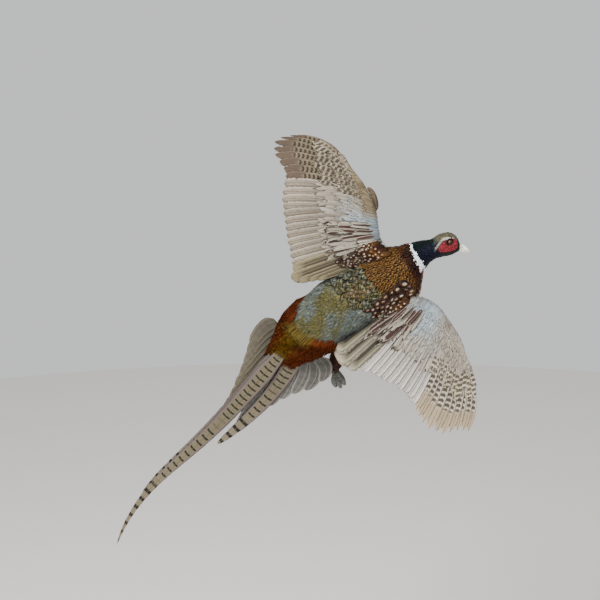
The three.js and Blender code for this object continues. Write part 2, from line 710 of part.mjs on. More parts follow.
for (const [side, wing] of Object.entries(WINGS)) {
  const limbs = new THREE.Group();
  const tertialEnd = FIRST_SECONDARY - wing.tertialGap;
  add(limbs, `wing_${side}_arm`, cut(armPlate(wing, 0, FIRST_PRIMARY), wholeBody), 'wingCoverts');
  add(limbs, `wing_${side}_hand`, armPlate(wing, FIRST_PRIMARY, FEATHERS), 'wingCoverts');
  add(limbs, `wing_${side}_tertials`, cut(featherPlate(wing, 0, tertialEnd, 2), wholeBody), 'vanes');
  add(limbs, `wing_${side}_secondaries`,
    cut(featherPlate(wing, FIRST_SECONDARY, FIRST_PRIMARY, 2), wholeBody), 'vanes');
  add(limbs, `wing_${side}_primaries`, featherPlate(wing, FIRST_PRIMARY, FEATHERS, 3), 'vanes');
  pheasant.add(limbs);
}
for (const [side, { reach, stand: forwards, height }] of Object.entries(ALULAE)) {
  add(pheasant, `wing_${side}_alula`, alula(WINGS[side], reach, forwards, height), 'vanes');
}

const tail = new THREE.Group();
for (const [name, feather] of Object.entries(LONG_FEATHERS)) {
  add(tail, name, cut(longTailFeather(feather), wholeBody), 'tailVanes');
}
for (const [side, fan] of Object.entries(TAIL_FANS)) {
  add(tail, `tail_fan_${side}`, cut(tailFan(fan), wholeBody), 'tailVanes');
}
pheasant.add(tail);

for (const [side, leg] of Object.entries(LEGS)) {
  const limbs = new THREE.Group();
  add(limbs, `thigh_${side}`, thigh(leg), 'thighPlumage');
  add(limbs, `tarsus_${side}`, tarsus(leg), 'scales');
  add(limbs, `foot_${side}`, foot(leg), 'scales');
  pheasant.add(limbs);
}

const stand = new THREE.Group();
add(stand, 'stand_wall_rosette', rosette(), 'wood');
add(stand, 'stand_rod', rod(), 'steel');
pheasant.add(stand);

export default pheasant;
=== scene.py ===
"""Looks of a taxidermy cock ring-necked pheasant, mounted in flight on a wall rosette.

Everything is worked out in millimetres in the frame's axes and turned to metres when a mesh is made.
+Y runs into the wall, +Z is up, and the bird's back faces -Y.
"""

import bpy
import numpy as np
from mathutils import Matrix
from mathutils.kdtree import KDTree


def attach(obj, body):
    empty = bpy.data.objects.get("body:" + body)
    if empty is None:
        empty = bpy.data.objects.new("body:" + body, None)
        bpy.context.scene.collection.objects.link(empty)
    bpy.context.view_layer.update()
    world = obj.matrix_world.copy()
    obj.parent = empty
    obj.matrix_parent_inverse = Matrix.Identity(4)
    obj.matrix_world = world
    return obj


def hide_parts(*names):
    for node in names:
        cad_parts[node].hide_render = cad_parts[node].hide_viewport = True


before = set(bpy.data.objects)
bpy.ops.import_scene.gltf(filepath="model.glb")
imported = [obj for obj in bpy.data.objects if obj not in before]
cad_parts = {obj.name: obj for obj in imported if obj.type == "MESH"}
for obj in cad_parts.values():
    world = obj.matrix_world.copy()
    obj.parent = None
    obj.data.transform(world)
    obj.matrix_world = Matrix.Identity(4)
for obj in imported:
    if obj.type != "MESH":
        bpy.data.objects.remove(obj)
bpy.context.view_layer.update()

bl_info = {
    "name": "Mounted Pheasant",
    "version": (1, 0, 0),
    "blender": (4, 5, 0),
    "location": "View3D > Sidebar > Pheasant",
    "description": "Skin, feathers, face, legs and stand of a cock pheasant mounted in flight",
    "category": "Add Mesh",
}

MM = 0.001

# ---- shape of the body, as in the solids
# station: centre x, y, z, heading, twist, half sizes to the side, the back and the belly
BODY = [
    (0, -128, -151, -108, 44, 0, 38, 9, 12),
    (1, -105, -150, -84, 40, 0, 51, 21, 26),
    (2, -65, -150, -54, 36.5, 0, 59, 35, 43),
    (3, -16, -150, -18, 36.5, 1, 65, 47, 58),
    (4, 28, -150, 11, 36.5, 3, 67, 53, 66),
    (5, 68, -151, 37, 36.5, 8, 65, 54, 68),
    (6, 97, -153, 52, 38, 16, 60, 50, 62),
    (7, 113, -157, 67, 37, 28, 43, 41, 48),
    (8, 127, -163, 80, 30, 44, 32, 32, 34),
    (9, 143, -168, 91, 21, 58, 24, 24, 26),
    (10, 159, -173, 97.5, 11, 67, 19.5, 20, 20.5),
    (11, 174, -176, 103, 4, 72, 19.5, 25, 21),
    (12, 189, -178, 106.5, -3, 75, 18.5, 24.5, 22),
    (13, 200.5, -179, 105.5, -8, 77, 14.5, 19, 18),
    (14, 209, -180, 101.5, -12, 78, 7.5, 8.5, 8.5),
]
LAST_STATION = 14
# station and depth of the coat over the skin
COAT = [(0, 6), (2, 7.5), (6, 8), (7, 6), (8, 4.5), (10, 3), (11, 2), (14, 1)]
EYE_STATION = 12.12
EYE_ANGLE = np.radians(61)
EYE_RADIUS = 5.4
EYE_SUNK = 3.2
WATTLE_HALF = np.array([20.5, 13])
WATTLE_CENTRE = np.array([0.5, 3.5])

SPINE = np.radians(36.5)
SPINE_FORWARD = np.array([np.cos(SPINE), 0, np.sin(SPINE)])
SPINE_LEFT = np.array([-np.sin(SPINE), 0, np.cos(SPINE)])
WING_RISE, WING_CAMBER, WING_CAMBER_CHORD, WING_CREST = 0.1, 22, 220, -50
COVERT_LINE = 0.4
VANE_THICKNESS = 1.6
ARM_DEPTHS = [(0, 26), (8, 20), (14, 14), (19, 7), (25, 3)]
WINGS = {
    "left": {
        "sign": 1, "shoulder": (72, -180, 73),
        "lead": [(0, 5, -18), (5, 40, -12), (10, 70, -24), (14.5, 95, -38), (19, 140, -50), (25, 195, -53)],
        "trail": [(0, 50, 130), (3, 80, 177), (5, 105, 161), (14, 216, 98), (18, 262, 57), (21, 304, 48),
                  (23, 320, 30), (25, 306, -2)],
        "bow": [(0, 0), (14, 22), (25, 38)],
    },
    "right": {
        "sign": -1, "shoulder": (92, -180, 5),
        "lead": [(0, 5, -6), (5, 35, -37), (10, 65, -49), (14.5, 95, -50), (19, 135, -48), (25, 178, -39)],
        "trail": [(0, 8, 166), (2, 36, 181), (4.4, 64, 172), (5, 79, 152), (13, 170, 104), (17.5, 238, 112),
                  (20, 272, 98), (22.5, 286, 66), (25, 299, 38)],
        "bow": [(0, 0), (14, 12), (25, 24)],
    },
}
FIRST_SECONDARY, FIRST_PRIMARY, FEATHERS = 5, 15, 25

TAIL_ROOT = np.array([-119, -150, -89.0])
TAIL_HEADING = np.radians(48)
TAIL_SIDE = np.array([np.sin(TAIL_HEADING), 0, -np.cos(TAIL_HEADING)])
TAIL_ROUND, TAIL_RISE, TAIL_LENGTH = 0.0022, 15, 600
# name: length, headings below the horizontal, sideways start of the quill, half width, taper, layer
LONG_FEATHERS = {
    "tail_central_upper": (600, [(0, 50), (0.3, 48), (0.6, 42), (0.76, 49), (1, 70)], 0, 17.5, 0.8, 8),
    "tail_central_lower": (470, [(0, 50), (0.39, 47), (0.78, 42), (1, 49)], -4, 17, 0.7, 4.5),
    "tail_second_right": (286, [(0, 79), (0.2, 60), (0.45, 51), (0.7, 43), (1, 38)], 13, 17, 0.5, 1.5),
}
# side, layer, and for each feather: angle and distance of the tip, start of the quill, bulge
TAIL_FANS = {
    "right": (1, -1.5, [(49, 262, 4, 0), (57.5, 232, 8, 0), (64, 180, 14, 2), (70, 155, 20, 4),
                        (77.5, 135, 27, 7), (88, 121, 36, 11), (101, 117, 47, 16), (120, 111, 60, 14)]),
    "left": (-1, -4, [(50, 262, 4, 0), (45, 216, 8, 0), (43, 188, 14, 2), (39.5, 163, 20, 4),
                      (35.5, 141, 27, 7), (30.5, 123, 34, 9), (24, 107, 42, 11), (14, 94, 52, 10)]),
}
LEGS = {
    "right": {"hip": (-2, -104, -60), "hock": (-36, -84, -146), "ankle": (-40, -52, -178),
              "toe_tip": (-30, -46, -217), "spread": (9.5, 0, 2.3), "curl": (0, 18, 0)},
    "left": {"hip": (-46, -104, 2), "hock": (-104, -84, -46), "ankle": (-121, -54, -84),
             "toe_tip": (-133, -46, -121), "spread": (8.5, 0, -5), "curl": (0, 17, 0)},
}


def circle(sides):
    return np.linspace(0, 2 * np.pi, sides, endpoint=False)


def grid(first, second):
    return np.meshgrid(first, second, indexing="ij")


def unit(vectors):
    return vectors / np.linalg.norm(vectors, axis=-1, keepdims=True)


def dot(a, b):
    return (a * b).sum(-1)


def ramp(value, low, high):
    """0 up to low, 1 from high on, and a smooth rise between them."""
    share = np.clip((value - low) / (high - low), 0, 1)
    return share * share * (3 - 2 * share)


def along(rows, position):
    """Values of rows of (position, a, b, ...) at positions, joined by smooth curves."""
    rows = np.asarray(rows, float)
    position = np.asarray(position, float)
    at = np.clip(np.searchsorted(rows[:, 0], position) - 1, 0, len(rows) - 2)
    before, start, end, after = (rows[np.clip(at + k, 0, len(rows) - 1)] for k in (-1, 0, 1, 2))
    span = end[..., :1] - start[..., :1]
    t = (position[..., None] - start[..., :1]) / span
    rise = end[..., 1:] - start[..., 1:]
    into = (end[..., 1:] - before[..., 1:]) / (end[..., :1] - before[..., :1]) * span
    out = (after[..., 1:] - start[..., 1:]) / (after[..., :1] - start[..., :1]) * span
    return start[..., 1:] + t * (into + t * (3 * rise - 2 * into - out + t * (into + out - 2 * rise)))


def coat_depth(station):
    return np.interp(station, *zip(*COAT))


def body_frame(station):
    """Centre, forward, up (towards the back) and left axes, and half sizes, at station numbers."""
    values = along(BODY, station)
    heading, twist = np.radians(values[..., 3]), np.radians(values[..., 4])
    forward = np.stack([np.cos(heading), np.zeros_like(heading), np.sin(heading)], -1)
    up = np.stack([-np.sin(heading) * np.sin(twist), -np.cos(twist), np.cos(heading) * np.sin(twist)], -1)
    return values[..., :3], forward, up, np.cross(up, forward), values[..., 5:]


def body_ring(station, angle, height):
    centre, _, up, left, sizes = body_frame(station)
    rise = np.cos(angle)
    tall = np.where(rise > 0, sizes[..., 1], sizes[..., 2]) + height
    wide = np.sin(angle) * (sizes[..., 0] + height)
    return centre + up * (rise * tall)[..., None] + left * wide[..., None]


def body_point(station, angle, height):
    """A point over the body; the angle turns from back to left, and the ends run on straight."""
    station, angle, height = np.broadcast_arrays(station, angle, height)
    inside = np.clip(station, 0, LAST_STATION)
    points = body_ring(inside, angle, height)
    beyond = station - inside
    past = beyond != 0
    if past.any():
        step = 0.05 * np.sign(beyond[past])
        slope = points[past] - body_ring(inside[past] - step, angle[past], height[past])
        points[past] += slope * (beyond[past] / step)[..., None]
    return points


def plan_point(wing, feather, chord):
    """A point in the wing's plan: out from the shoulder, and back along the spine."""
    lead, trail = along(wing["lead"], feather), along(wing["trail"], feather)
    bow = along(wing["bow"], feather)[..., 0]
    run = trail - lead
    normal = np.stack([run[..., 1], -run[..., 0]], -1) / np.linalg.norm(run, axis=-1, keepdims=True)
    return lead + run * chord[..., None] + normal * (2 * chord * (1 - chord) * bow)[..., None]


def wing_point(wing, plan, height):
    out, back = plan[..., 0], plan[..., 1]
    lift = WING_RISE * out - WING_CAMBER * ((back - WING_CREST) / WING_CAMBER_CHORD) ** 2 + height
    point = np.array(wing["shoulder"], float) + SPINE_LEFT * (wing["sign"] * out)[..., None]
    return point - SPINE_FORWARD * back[..., None] - np.stack([0 * lift, lift, 0 * lift], -1)


def wing_surface(wing, over):
    """The upper or lower surface of a wing, as a function of chord share, feather number and height."""
    def surface(chord, feather, height):
        chord, feather, height = np.broadcast_arrays(chord, feather, height)
        deepest = along(ARM_DEPTHS, feather)[..., 0]
        share = np.clip(chord / COVERT_LINE, 0, 1)
        hump = np.sin(np.pi * share ** 0.75)
        thick = np.maximum(VANE_THICKNESS, 3 * (1 - share) + (deepest - 3) * hump)
        level = 0.35 * thick + height if over else -0.65 * thick - height
        return wing_point(wing, plan_point(wing, feather, chord), level)
    return surface


def limb_surface(leg):
    """The feathered thigh: share from hip to hock, angle round it, height over it."""
    hip, hock = np.array(leg["hip"], float), np.array(leg["hock"], float)
    axis = unit(hock - hip)
    side = unit(np.cross(axis, (0, 1, 0)))
    front = np.cross(axis, side)

    def surface(share, angle, height):
        share, angle, height = np.broadcast_arrays(share, angle, height)
        radius = (along([(0, 25), (0.5, 20), (1, 10), (1.3, 5)], share)[..., 0] + height)[..., None]
        centre = hip + (hock - hip) * share[..., None]
        return centre + radius * (np.cos(angle)[..., None] * side + np.sin(angle)[..., None] * front)
    return surface


def tail_depth(point, height):
    """Depth of the tail's surface at points: it rises to the tip and rounds off sideways."""
    offset = (point - TAIL_ROOT) * (1, 0, 1)
    rise = TAIL_RISE * (np.linalg.norm(offset, axis=-1) / TAIL_LENGTH) ** 1.5
    return TAIL_ROOT[1] - rise - height + TAIL_ROUND * dot(offset, TAIL_SIDE) ** 2


def slopes(surface, u, v, height, step=0.01):
    """A surface's points, and its slopes along u and along v there."""
    here = surface(u, v, height)
    return here, (surface(u + step, v, height) - here) / step, (surface(u, v + step, height) - here) / step


# ---- meshes
def new_piece(name, points, sizes, corners, materials, slot, replaces=(), face_materials=None,
              attributes=None, bake=None):
    """A smooth mesh piece from points in millimetres that rides on the body and replaces CAD nodes."""
    mesh = bpy.data.meshes.new(name)
    mesh.vertices.add(len(points))
    mesh.vertices.foreach_set("co", (np.asarray(points) * MM).ravel())
    mesh.loops.add(len(corners))
    mesh.loops.foreach_set("vertex_index", np.asarray(corners, np.int32))
    mesh.polygons.add(len(sizes))
    mesh.polygons.foreach_set("loop_start", np.concatenate([[0], np.cumsum(sizes)[:-1]]).astype(np.int32))
    if face_materials is not None:
        mesh.polygons.foreach_set("material_index", np.asarray(face_materials, np.int32))
    mesh.polygons.foreach_set("use_smooth", np.ones(len(sizes), bool))
    for key, values in (attributes or {}).items():
        values = np.asarray(values, float)
        is_colour = values.shape[-1] == 4
        layer = mesh.attributes.new(key, "FLOAT_COLOR" if is_colour else "FLOAT_VECTOR", "POINT")
        layer.data.foreach_set("color" if is_colour else "vector", values.ravel())
    if bake is not None:
        mesh.uv_layers.new(name="OFBake").data.foreach_set("uv", np.asarray(bake)[corners].ravel())
    mesh.update(calc_edges=True)
    mesh.validate()
    piece = bpy.data.objects.new(name, mesh)
    for material in materials:
        mesh.materials.append(material)
    bpy.context.scene.collection.objects.link(piece)
    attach(piece, "root")
    if replaces:
        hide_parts(*replaces)
    return piece


def closed_tube(rings):
    """Points, sizes and corners of a lofted body with its two ends closed."""
    count, sides = rings.shape[:2]
    ring, side = grid(np.arange(count - 1) * sides, np.arange(sides))
    a, b = ring + side, ring + (side + 1) % sides
    corners = np.stack([a, b, b + sides, a + sides], -1).ravel()
    start, end = np.arange(sides)[::-1], np.arange(sides) + (count - 1) * sides
    sizes = [*[4] * (len(corners) // 4), sides, sides]
    return rings.reshape(-1, 3), np.array(sizes), np.concatenate([corners, start, end])


def joined(parts):
    """Several (points, sizes, corners) as one."""
    shift, corners = 0, []
    for points, _, part in parts:
        corners.append(np.asarray(part) + shift)
        shift += len(points)
    return (np.concatenate([p for p, _, _ in parts]), np.concatenate([s for _, s, _ in parts]),
            np.concatenate(corners))


def swept(points, radii, sides=14, steps=24, wave=0.0, waves=10):
    """A round tube along a smooth curve; the wave swells it into rings, as scales do round a toe."""
    points = np.asarray(points, float)
    places = np.linspace(0, 1, len(points))
    t = np.linspace(0, 1, steps + 1)
    centre = along(np.column_stack([places, points]), t)
    radius = along(np.column_stack([np.linspace(0, 1, len(radii)), radii]), t)[:, 0]
    radius = radius * (1 + wave * np.abs(np.sin(np.pi * waves * t)))
    tangent = unit(np.gradient(centre, axis=0))
    normal = np.zeros_like(tangent)
    normal[0] = unit(np.cross(tangent[0], (0.31, 0.94, 0.17)))
    for i in range(1, len(t)):
        normal[i] = unit(normal[i - 1] - tangent[i] * dot(normal[i - 1], tangent[i]))
    cross = np.cross(tangent, normal)
    turn = circle(sides)
    ring = np.cos(turn)[:, None] * normal[:, None] + np.sin(turn)[:, None] * cross[:, None]
    return closed_tube(centre[:, None] + radius[:, None, None] * ring)


class Vane:
    """One feather as a unit shape: across from -1 to 1, along from 0 to 1, top and underside."""

    def __init__(self, across, rows, base, blunt, point=0.15, quill=False):
        across = np.asarray(across, float)
        columns, middle = len(across), len(across) // 2
        t = np.linspace(0, 1, rows + 1) ** 0.9
        rise = base + (1 - base) * np.sin(np.minimum(t / 0.5, 1) * np.pi / 2)
        close = np.sqrt(1 - np.clip((t - blunt) / (1 - blunt), 0, 1) ** 2)
        width = np.maximum(rise * close, point * (t > 0.5))
        self.across = np.concatenate([np.tile(across, rows + 1), np.zeros(rows - 1)])
        self.along = np.concatenate([np.repeat(t, columns), t[1:-1]])
        self.reach = self.across * np.interp(self.along, t, width)
        self.under = np.concatenate([np.zeros((rows + 1) * columns), np.ones(rows - 1)])
        self.quill = (self.across == 0) * (1 - self.under) * quill
        faces, sides = [], []
        for i in range(rows):
            for j in range(columns - 1):
                a = i * columns + j
                faces.append((a, a + columns, a + columns + 1, a + 1))
                sides.append(0)
        low = (rows + 1) * columns - 1

        def halves(i):
            """Corners of the underside across row i: left edge to middle, and middle to right edge."""
            at = i * columns
            if i in (0, rows):
                return list(range(at, at + middle + 1)), list(range(at + middle, at + columns))
            return [at, low + i], [low + i, at + columns - 1]

        for i in range(rows):
            for near, far in zip(halves(i), halves(i + 1)):
                faces.append(near + far[::-1])
                sides.append(1)
        self.sizes = np.array([len(f) for f in faces])
        self.corners = np.array([k for f in faces for k in f])
        self.face_sides = np.array(sides)
        self.count = len(self.across)

    def repeated(self, count):
        """Face sizes and corners of count feathers one after another."""
        corners = self.corners + self.count * np.arange(count)[:, None]
        return np.tile(self.sizes, count), corners.ravel()


SMALL_VANE = Vane((-1, -0.5, 0, 0.5, 1), 5, base=0.45, blunt=0.55)
BROAD_VANE = Vane((-1, -0.66, -0.33, 0, 0.33, 0.66, 1), 7, base=0.4, blunt=0.5)
STRAND_VANE = Vane((-1, 0, 1), 5, base=0.7, blunt=0.35)
COVERT_VANE = Vane((-1, -0.6, -0.2, 0, 0.2, 0.6, 1), 6, base=0.5, blunt=0.5)
LONG_COVERT = Vane((-1, -0.6, -0.2, 0, 0.2, 0.6, 1), 9, base=0.4, blunt=0.72)


def rows_over(surface, u_range, v_range, step, gap, rng):
    """Places for feathers in staggered rows over a surface, step apart along it and gap apart across it."""
    jitter, u_at, v_at = 0.25, [], []
    u, row = u_range[0], 0
    v_fine, v_few = np.linspace(*v_range, 181), np.linspace(*v_range, 5)
    while u < u_range[1]:
        ring = surface(u, v_fine, 0.0)
        reach = np.concatenate([[0], np.cumsum(np.linalg.norm(np.diff(ring, axis=0), axis=-1))])
        count = max(int(reach[-1] / gap), 1)
        stagger = 0.25 + 0.5 * (row % 2)
        places = (np.arange(count) + stagger + rng.uniform(-jitter, jitter, count) / 2) * reach[-1] / count
        slope = np.linalg.norm(slopes(surface, u, v_few, 0.0)[1], axis=-1).mean()
        v_at.append(np.interp(places, reach, v_fine))
        u_at.append(u + rng.uniform(-jitter, jitter, count) * step / slope)
        u += step / max(slope, 1e-3)
        row += 1
    return np.concatenate(u_at), np.concatenate(v_at)


FEATHER_THICKNESS = 0.35


def lay(surface, shape, u, v, aft, length, half, root, tip, rng, turn=0.0, wander=5.0, camber=0.16,
        ragged=0.03, lift=0.8):
    """Feathers draped on a surface from their roots: points, shading coordinates, which lie flat."""
    count = len(u)
    turn = turn(u, v) if callable(turn) else turn
    length, half, root, tip, turn = (np.broadcast_to(value, (count,)).astype(float)
                                     for value in (length, half, root, tip, turn))
    size = rng.normal(1, 0.05, count)
    length, half = length * size, half * size
    turn = turn + np.radians(rng.normal(0, wander, count))
    origin, du, dv = slopes(surface, u, v, np.zeros(count), 1e-3)
    normal = unit(np.cross(du, dv))
    normal = normal * np.sign(dot(normal, surface(u, v, np.ones(count)) - origin))[:, None]
    back = unit(aft * du)
    side = np.cross(normal, back)
    cosine, sine = np.cos(turn)[:, None], np.sin(turn)[:, None]
    lie, beside = cosine * back + sine * side, cosine * side - sine * back
    uu, vu, uv, vv = (dot(slope, course)[:, None] for course in (lie, beside) for slope in (du, dv))
    whole = uu * vv - vu * uv
    x = shape.reach * half[:, None]
    loose = np.clip((shape.along - 0.6) / 0.4, 0, 1) * (shape.across != 0)
    y = length[:, None] * (shape.along + ragged * loose * rng.normal(0, 1, (count, shape.count)))
    crown = camber * half[:, None] * (1 - (shape.reach / np.abs(shape.reach).max()) ** 2)
    rise = root[:, None] + (tip + rng.normal(0, 0.35, count) - root)[:, None] * shape.along ** lift
    points = surface(u[:, None] + (vv * y - vu * x) / whole,
                     v[:, None] + np.clip((uu * x - uv * y) / whole, -1.5, 1.5),
                     rise + crown - shape.under * FEATHER_THICKNESS)
    chance = rng.uniform(0, 1, count)[:, None]
    vane = np.stack(np.broadcast_arrays(shape.across, shape.along, chance), -1)
    lie_mm = np.stack(np.broadcast_arrays(shape.across * half[:, None], y, length[:, None]), -1)
    # a feather at a fold of the surface, where it can't lie flat, is left out
    flat = np.linalg.norm(points - origin[:, None], axis=-1).max(1) < 1.6 * length
    return points, vane, lie_mm, flat


# size of one feather's place on the bake map, across and along, and the bare border of the map
PATCH, BORDER = np.array([0.0035, 0.007]), 0.005


def coat_piece(name, shape, laid, places, colours, material, slot):
    """One object from laid feathers, their roots' places on the skin's unwrap and their colours."""
    points, vane, lie_mm, flat = laid
    points, vane, lie_mm, places = points[flat], vane[flat], lie_mm[flat], places[flat]
    sizes, corners = shape.repeated(len(points))
    corner = np.clip(places, 0, 1) * (1 - 2 * BORDER - PATCH) + BORDER
    bake = corner[:, None] + PATCH * (vane[..., :2] * (0.5, 1) + (0.5, 0))
    attributes = {"Vane": vane.reshape(-1, 3), "Lie": lie_mm.reshape(-1, 3)}
    for key, value in colours.items():
        attributes[key] = np.repeat(value[flat], shape.count, 0)
    return new_piece(name, points.reshape(-1, 3), sizes, corners, [material], slot,
                     attributes=attributes, bake=bake.reshape(-1, 2))


# ---- materials
def linear(code):
    """An sRGB hex colour as linear values with alpha."""
    srgb = np.array([int(code[i:i + 2], 16) for i in (1, 3, 5)]) / 255
    values = np.where(srgb <= 0.04045, srgb / 12.92, ((srgb + 0.055) / 1.055) ** 2.4)
    return (*values.tolist(), 1.0)


def add(tree, kind, *values, sockets=None, output=0, **settings):
    """Adds a node with its settings, fills its inputs by order or by name, and gives one of its outputs."""
    made = tree.nodes.new("ShaderNode" + kind)
    for key, value in settings.items():
        setattr(made, key, value)
    for key, value in [*enumerate(values), *(sockets or {}).items()]:
        if isinstance(value, bpy.types.NodeSocket):
            tree.links.new(value, made.inputs[key])
        else:
            made.inputs[key].default_value = value
    return None if output is None else made.outputs[output]


def new_material(name):
    material = bpy.data.materials.new(name)
    material.use_nodes = True
    tree = material.node_tree
    tree.nodes.clear()
    return material, tree


def finish_material(tree, sockets):
    shader = add(tree, "BsdfPrincipled", sockets=sockets)
    add(tree, "OutputMaterial", sockets={"Surface": shader}, output=None)


def colour_of(tree, value):
    """Linear values as they are, a hex colour as linear values, or the colour attribute of that name."""
    if not isinstance(value, str):
        return tuple(value)
    if value.startswith("#"):
        return linear(value)
    return add(tree, "Attribute", output="Color", attribute_name=value)


def distance(tree, across, down):
    squares = [add(tree, "Math", part, part, operation="MULTIPLY") for part in (across, down)]
    return add(tree, "Math", add(tree, "Math", *squares, operation="ADD"), operation="SQRT")


SMOOTH = {"interpolation_type": "SMOOTHSTEP"}
COLOUR = {"output": 2, "data_type": "RGBA"}


def kept_within(tree, mask, limits):
    """A mask that fades out past each limit: its edge, the value that is held to it, and the softness."""
    for edge, value, soft in limits:
        limit = add(tree, "MapRange", value, edge, edge + soft, **SMOOTH)
        mask = add(tree, "Math", mask, limit, operation="MULTIPLY")
    return mask


def mark_mask(tree, mark, vane, lie):
    """Mask of one marking. vane: x from edge to edge, y from root to tip, a chance. lie: x and y in mm."""
    shape, *sizes = mark
    x, y, chance = vane
    x_mm, y_mm, _ = lie
    if shape == "tip":  # where along it starts and is full, bowed with the rounded end
        square = add(tree, "Math", x, x, operation="MULTIPLY")
        bowed = add(tree, "Math", square, 0.12, y, operation="MULTIPLY_ADD")
        return add(tree, "MapRange", bowed, *sizes, **SMOOTH)
    if shape == "rim":  # a band along the edge: where it starts, is full, and rounds the end
        start, full, turn = sizes
        past = add(tree, "Math", add(tree, "Math", y, turn, operation="SUBTRACT"), 0.0, operation="MAXIMUM")
        near_end = add(tree, "Math", past, 1 / (1 - turn), operation="MULTIPLY")
        return add(tree, "MapRange", distance(tree, x, near_end), start, full, **SMOOTH)
    if shape == "drop":  # an oval: centre along, half width, half length, softness
        centre, half_width, half_length, soft = sizes
        across = add(tree, "Math", x, half_width, operation="DIVIDE")
        down = add(tree, "Math", y, centre, operation="SUBTRACT")
        down = add(tree, "Math", down, half_length, operation="DIVIDE")
        return add(tree, "MapRange", distance(tree, across, down), 1.0, 1.0 - soft, **SMOOTH)
    if shape == "bars":  # period in mm, dark share, left and right limits, first and last share along, sweep
        period, share, left, right, first, last, sweep = sizes
        wide_mm = add(tree, "Math", x_mm, operation="ABSOLUTE")
        slant = add(tree, "Math", wide_mm, sweep, y_mm, operation="MULTIPLY_ADD")
        stagger = add(tree, "Math", chance, 0.35, operation="MULTIPLY")
        turns = add(tree, "Math", slant, 1 / period, stagger, operation="MULTIPLY_ADD")
        phase = add(tree, "Math", add(tree, "Math", turns, operation="FRACT"), 0.5, operation="SUBTRACT")
        wave = add(tree, "Math", phase, operation="ABSOLUTE")
        bar = add(tree, "MapRange", wave, share / 2 + 0.05, share / 2 - 0.05, **SMOOTH)
        return kept_within(tree, bar, ((right, x, -0.12), (left, x, 0.12),
                                       (last, y, -0.04), (first, y, 0.04)))
    if shape == "shaft":  # the quill's line: half width in mm
        wide_mm = add(tree, "Math", x_mm, operation="ABSOLUTE")
        return add(tree, "MapRange", wide_mm, sizes[0], sizes[0] * 0.4, **SMOOTH)
    if shape == "streak":  # a lengthwise band: left and right limits, first and last share along
        left, right, first, last = sizes
        return kept_within(tree, 1.0, ((right, x, -0.15), (left, x, 0.15),
                                       (last, y, -0.1), (first, y, 0.1)))
    place = add(tree, "TexCoord", output="Object")
    if shape == "lines":  # fine lengthwise lines: period in mm, softness
        period, soft = sizes
        stray = add(tree, "TexNoise", sockets={"Vector": place, "Scale": 90.0, "Detail": 2.0})
        shift = add(tree, "Math", stray, 3.0, chance, operation="MULTIPLY_ADD")
        turns = add(tree, "Math", x_mm, 1 / period, shift, operation="MULTIPLY_ADD")
        wave = add(tree, "Math", turns, 0.5, operation="PINGPONG")
        return add(tree, "MapRange", wave, 0.25 - soft, 0.25 + soft)
    if shape == "mottle":  # cloudy flecks: size in mm, threshold
        grain, least = sizes
        cloud = add(tree, "TexNoise", sockets={"Vector": place, "Scale": 1000 / grain, "Detail": 3.0})
        return add(tree, "MapRange", cloud, least, least + 0.14, **SMOOTH)
    raise ValueError(shape)


COAT_VALUE = 0.68  # every plumage colour is scaled to this share of its listed brightness


def feather_material(name, marks, ground="Ground", roughness=0.62, barb_mm=0.9, barb_depth=0.1, vary=0.16,
                     gloss=None, painted_root_shade=0.3, shine=0.22):
    """Keratin barbs zipped into a vane; ground is a colour or an attribute, marks come on in order."""
    material, tree = new_material(name)
    places = [add(tree, "Attribute", output="Vector", attribute_name=key) for key in ("Vane", "Lie")]
    vane, lie = [add(tree, "SeparateXYZ", place).node.outputs[:] for place in places]
    colour = colour_of(tree, ground)
    for strength, mark, finish in marks:
        mask = add(tree, "Math", mark_mask(tree, mark, vane, lie), strength, operation="MULTIPLY")
        colour = add(tree, "Mix", sockets={0: mask, 6: colour, 7: colour_of(tree, finish)}, **COLOUR)
    # barbs run out and forward from the quill; real ones are 0.3 mm apart, drawn coarser so that they show
    wide_mm = add(tree, "Math", lie[0], operation="ABSOLUTE")
    slant = add(tree, "Math", wide_mm, -1.2, lie[1], operation="MULTIPLY_ADD")
    comb = add(tree, "Math", slant, barb_mm / 2, operation="PINGPONG")
    comb = add(tree, "Math", comb, barb_mm / 2, operation="DIVIDE")
    place = add(tree, "TexCoord", output="Object")
    cloud = add(tree, "TexNoise", sockets={"Vector": place, "Scale": 160.0, "Detail": 3.0})
    # painted shade: the part that lies under the next row is darkened, where the feathers over it shade it;
    # feathers, barbs and clouds vary round that
    shade = add(tree, "MapRange", vane[1], 0.4, 0.9, -painted_root_shade, 0.06)
    middle = 1.0 - barb_depth / 2 - vary / 2 - 0.15
    for part, share in ((comb, barb_depth), (vane[2], vary), (cloud, 0.3)):
        shade = add(tree, "Math", part, share, shade, operation="MULTIPLY_ADD")
    bright = add(tree, "Math", shade, middle, operation="ADD")
    bright = add(tree, "Math", bright, COAT_VALUE, operation="MULTIPLY")
    colour = add(tree, "HueSaturation", sockets={"Color": colour, "Value": bright})
    relief = add(tree, "Math", cloud, 0.8, comb, operation="MULTIPLY_ADD")
    bump = add(tree, "Bump", sockets={"Height": relief, "Strength": 0.35, "Distance": 0.0003})
    if gloss:  # thin-film colours: the barbules' base colour turns with the angle, over a dark ground
        face_on, edge_on, strength = gloss
        steep = add(tree, "LayerWeight", 0.45, output="Facing")
        tint = add(tree, "Mix", sockets={0: steep, 6: colour_of(tree, face_on), 7: colour_of(tree, edge_on)},
                   **COLOUR)
        lustre = add(tree, "MapRange", vane[1], 0.35, 0.8, 0.0, strength)
        colour = add(tree, "Mix", sockets={0: lustre, 6: colour, 7: tint}, **COLOUR)
    finish_material(tree, {"Base Color": colour, "Roughness": roughness, "Normal": bump,
                           "Specular IOR Level": shine})
    return material


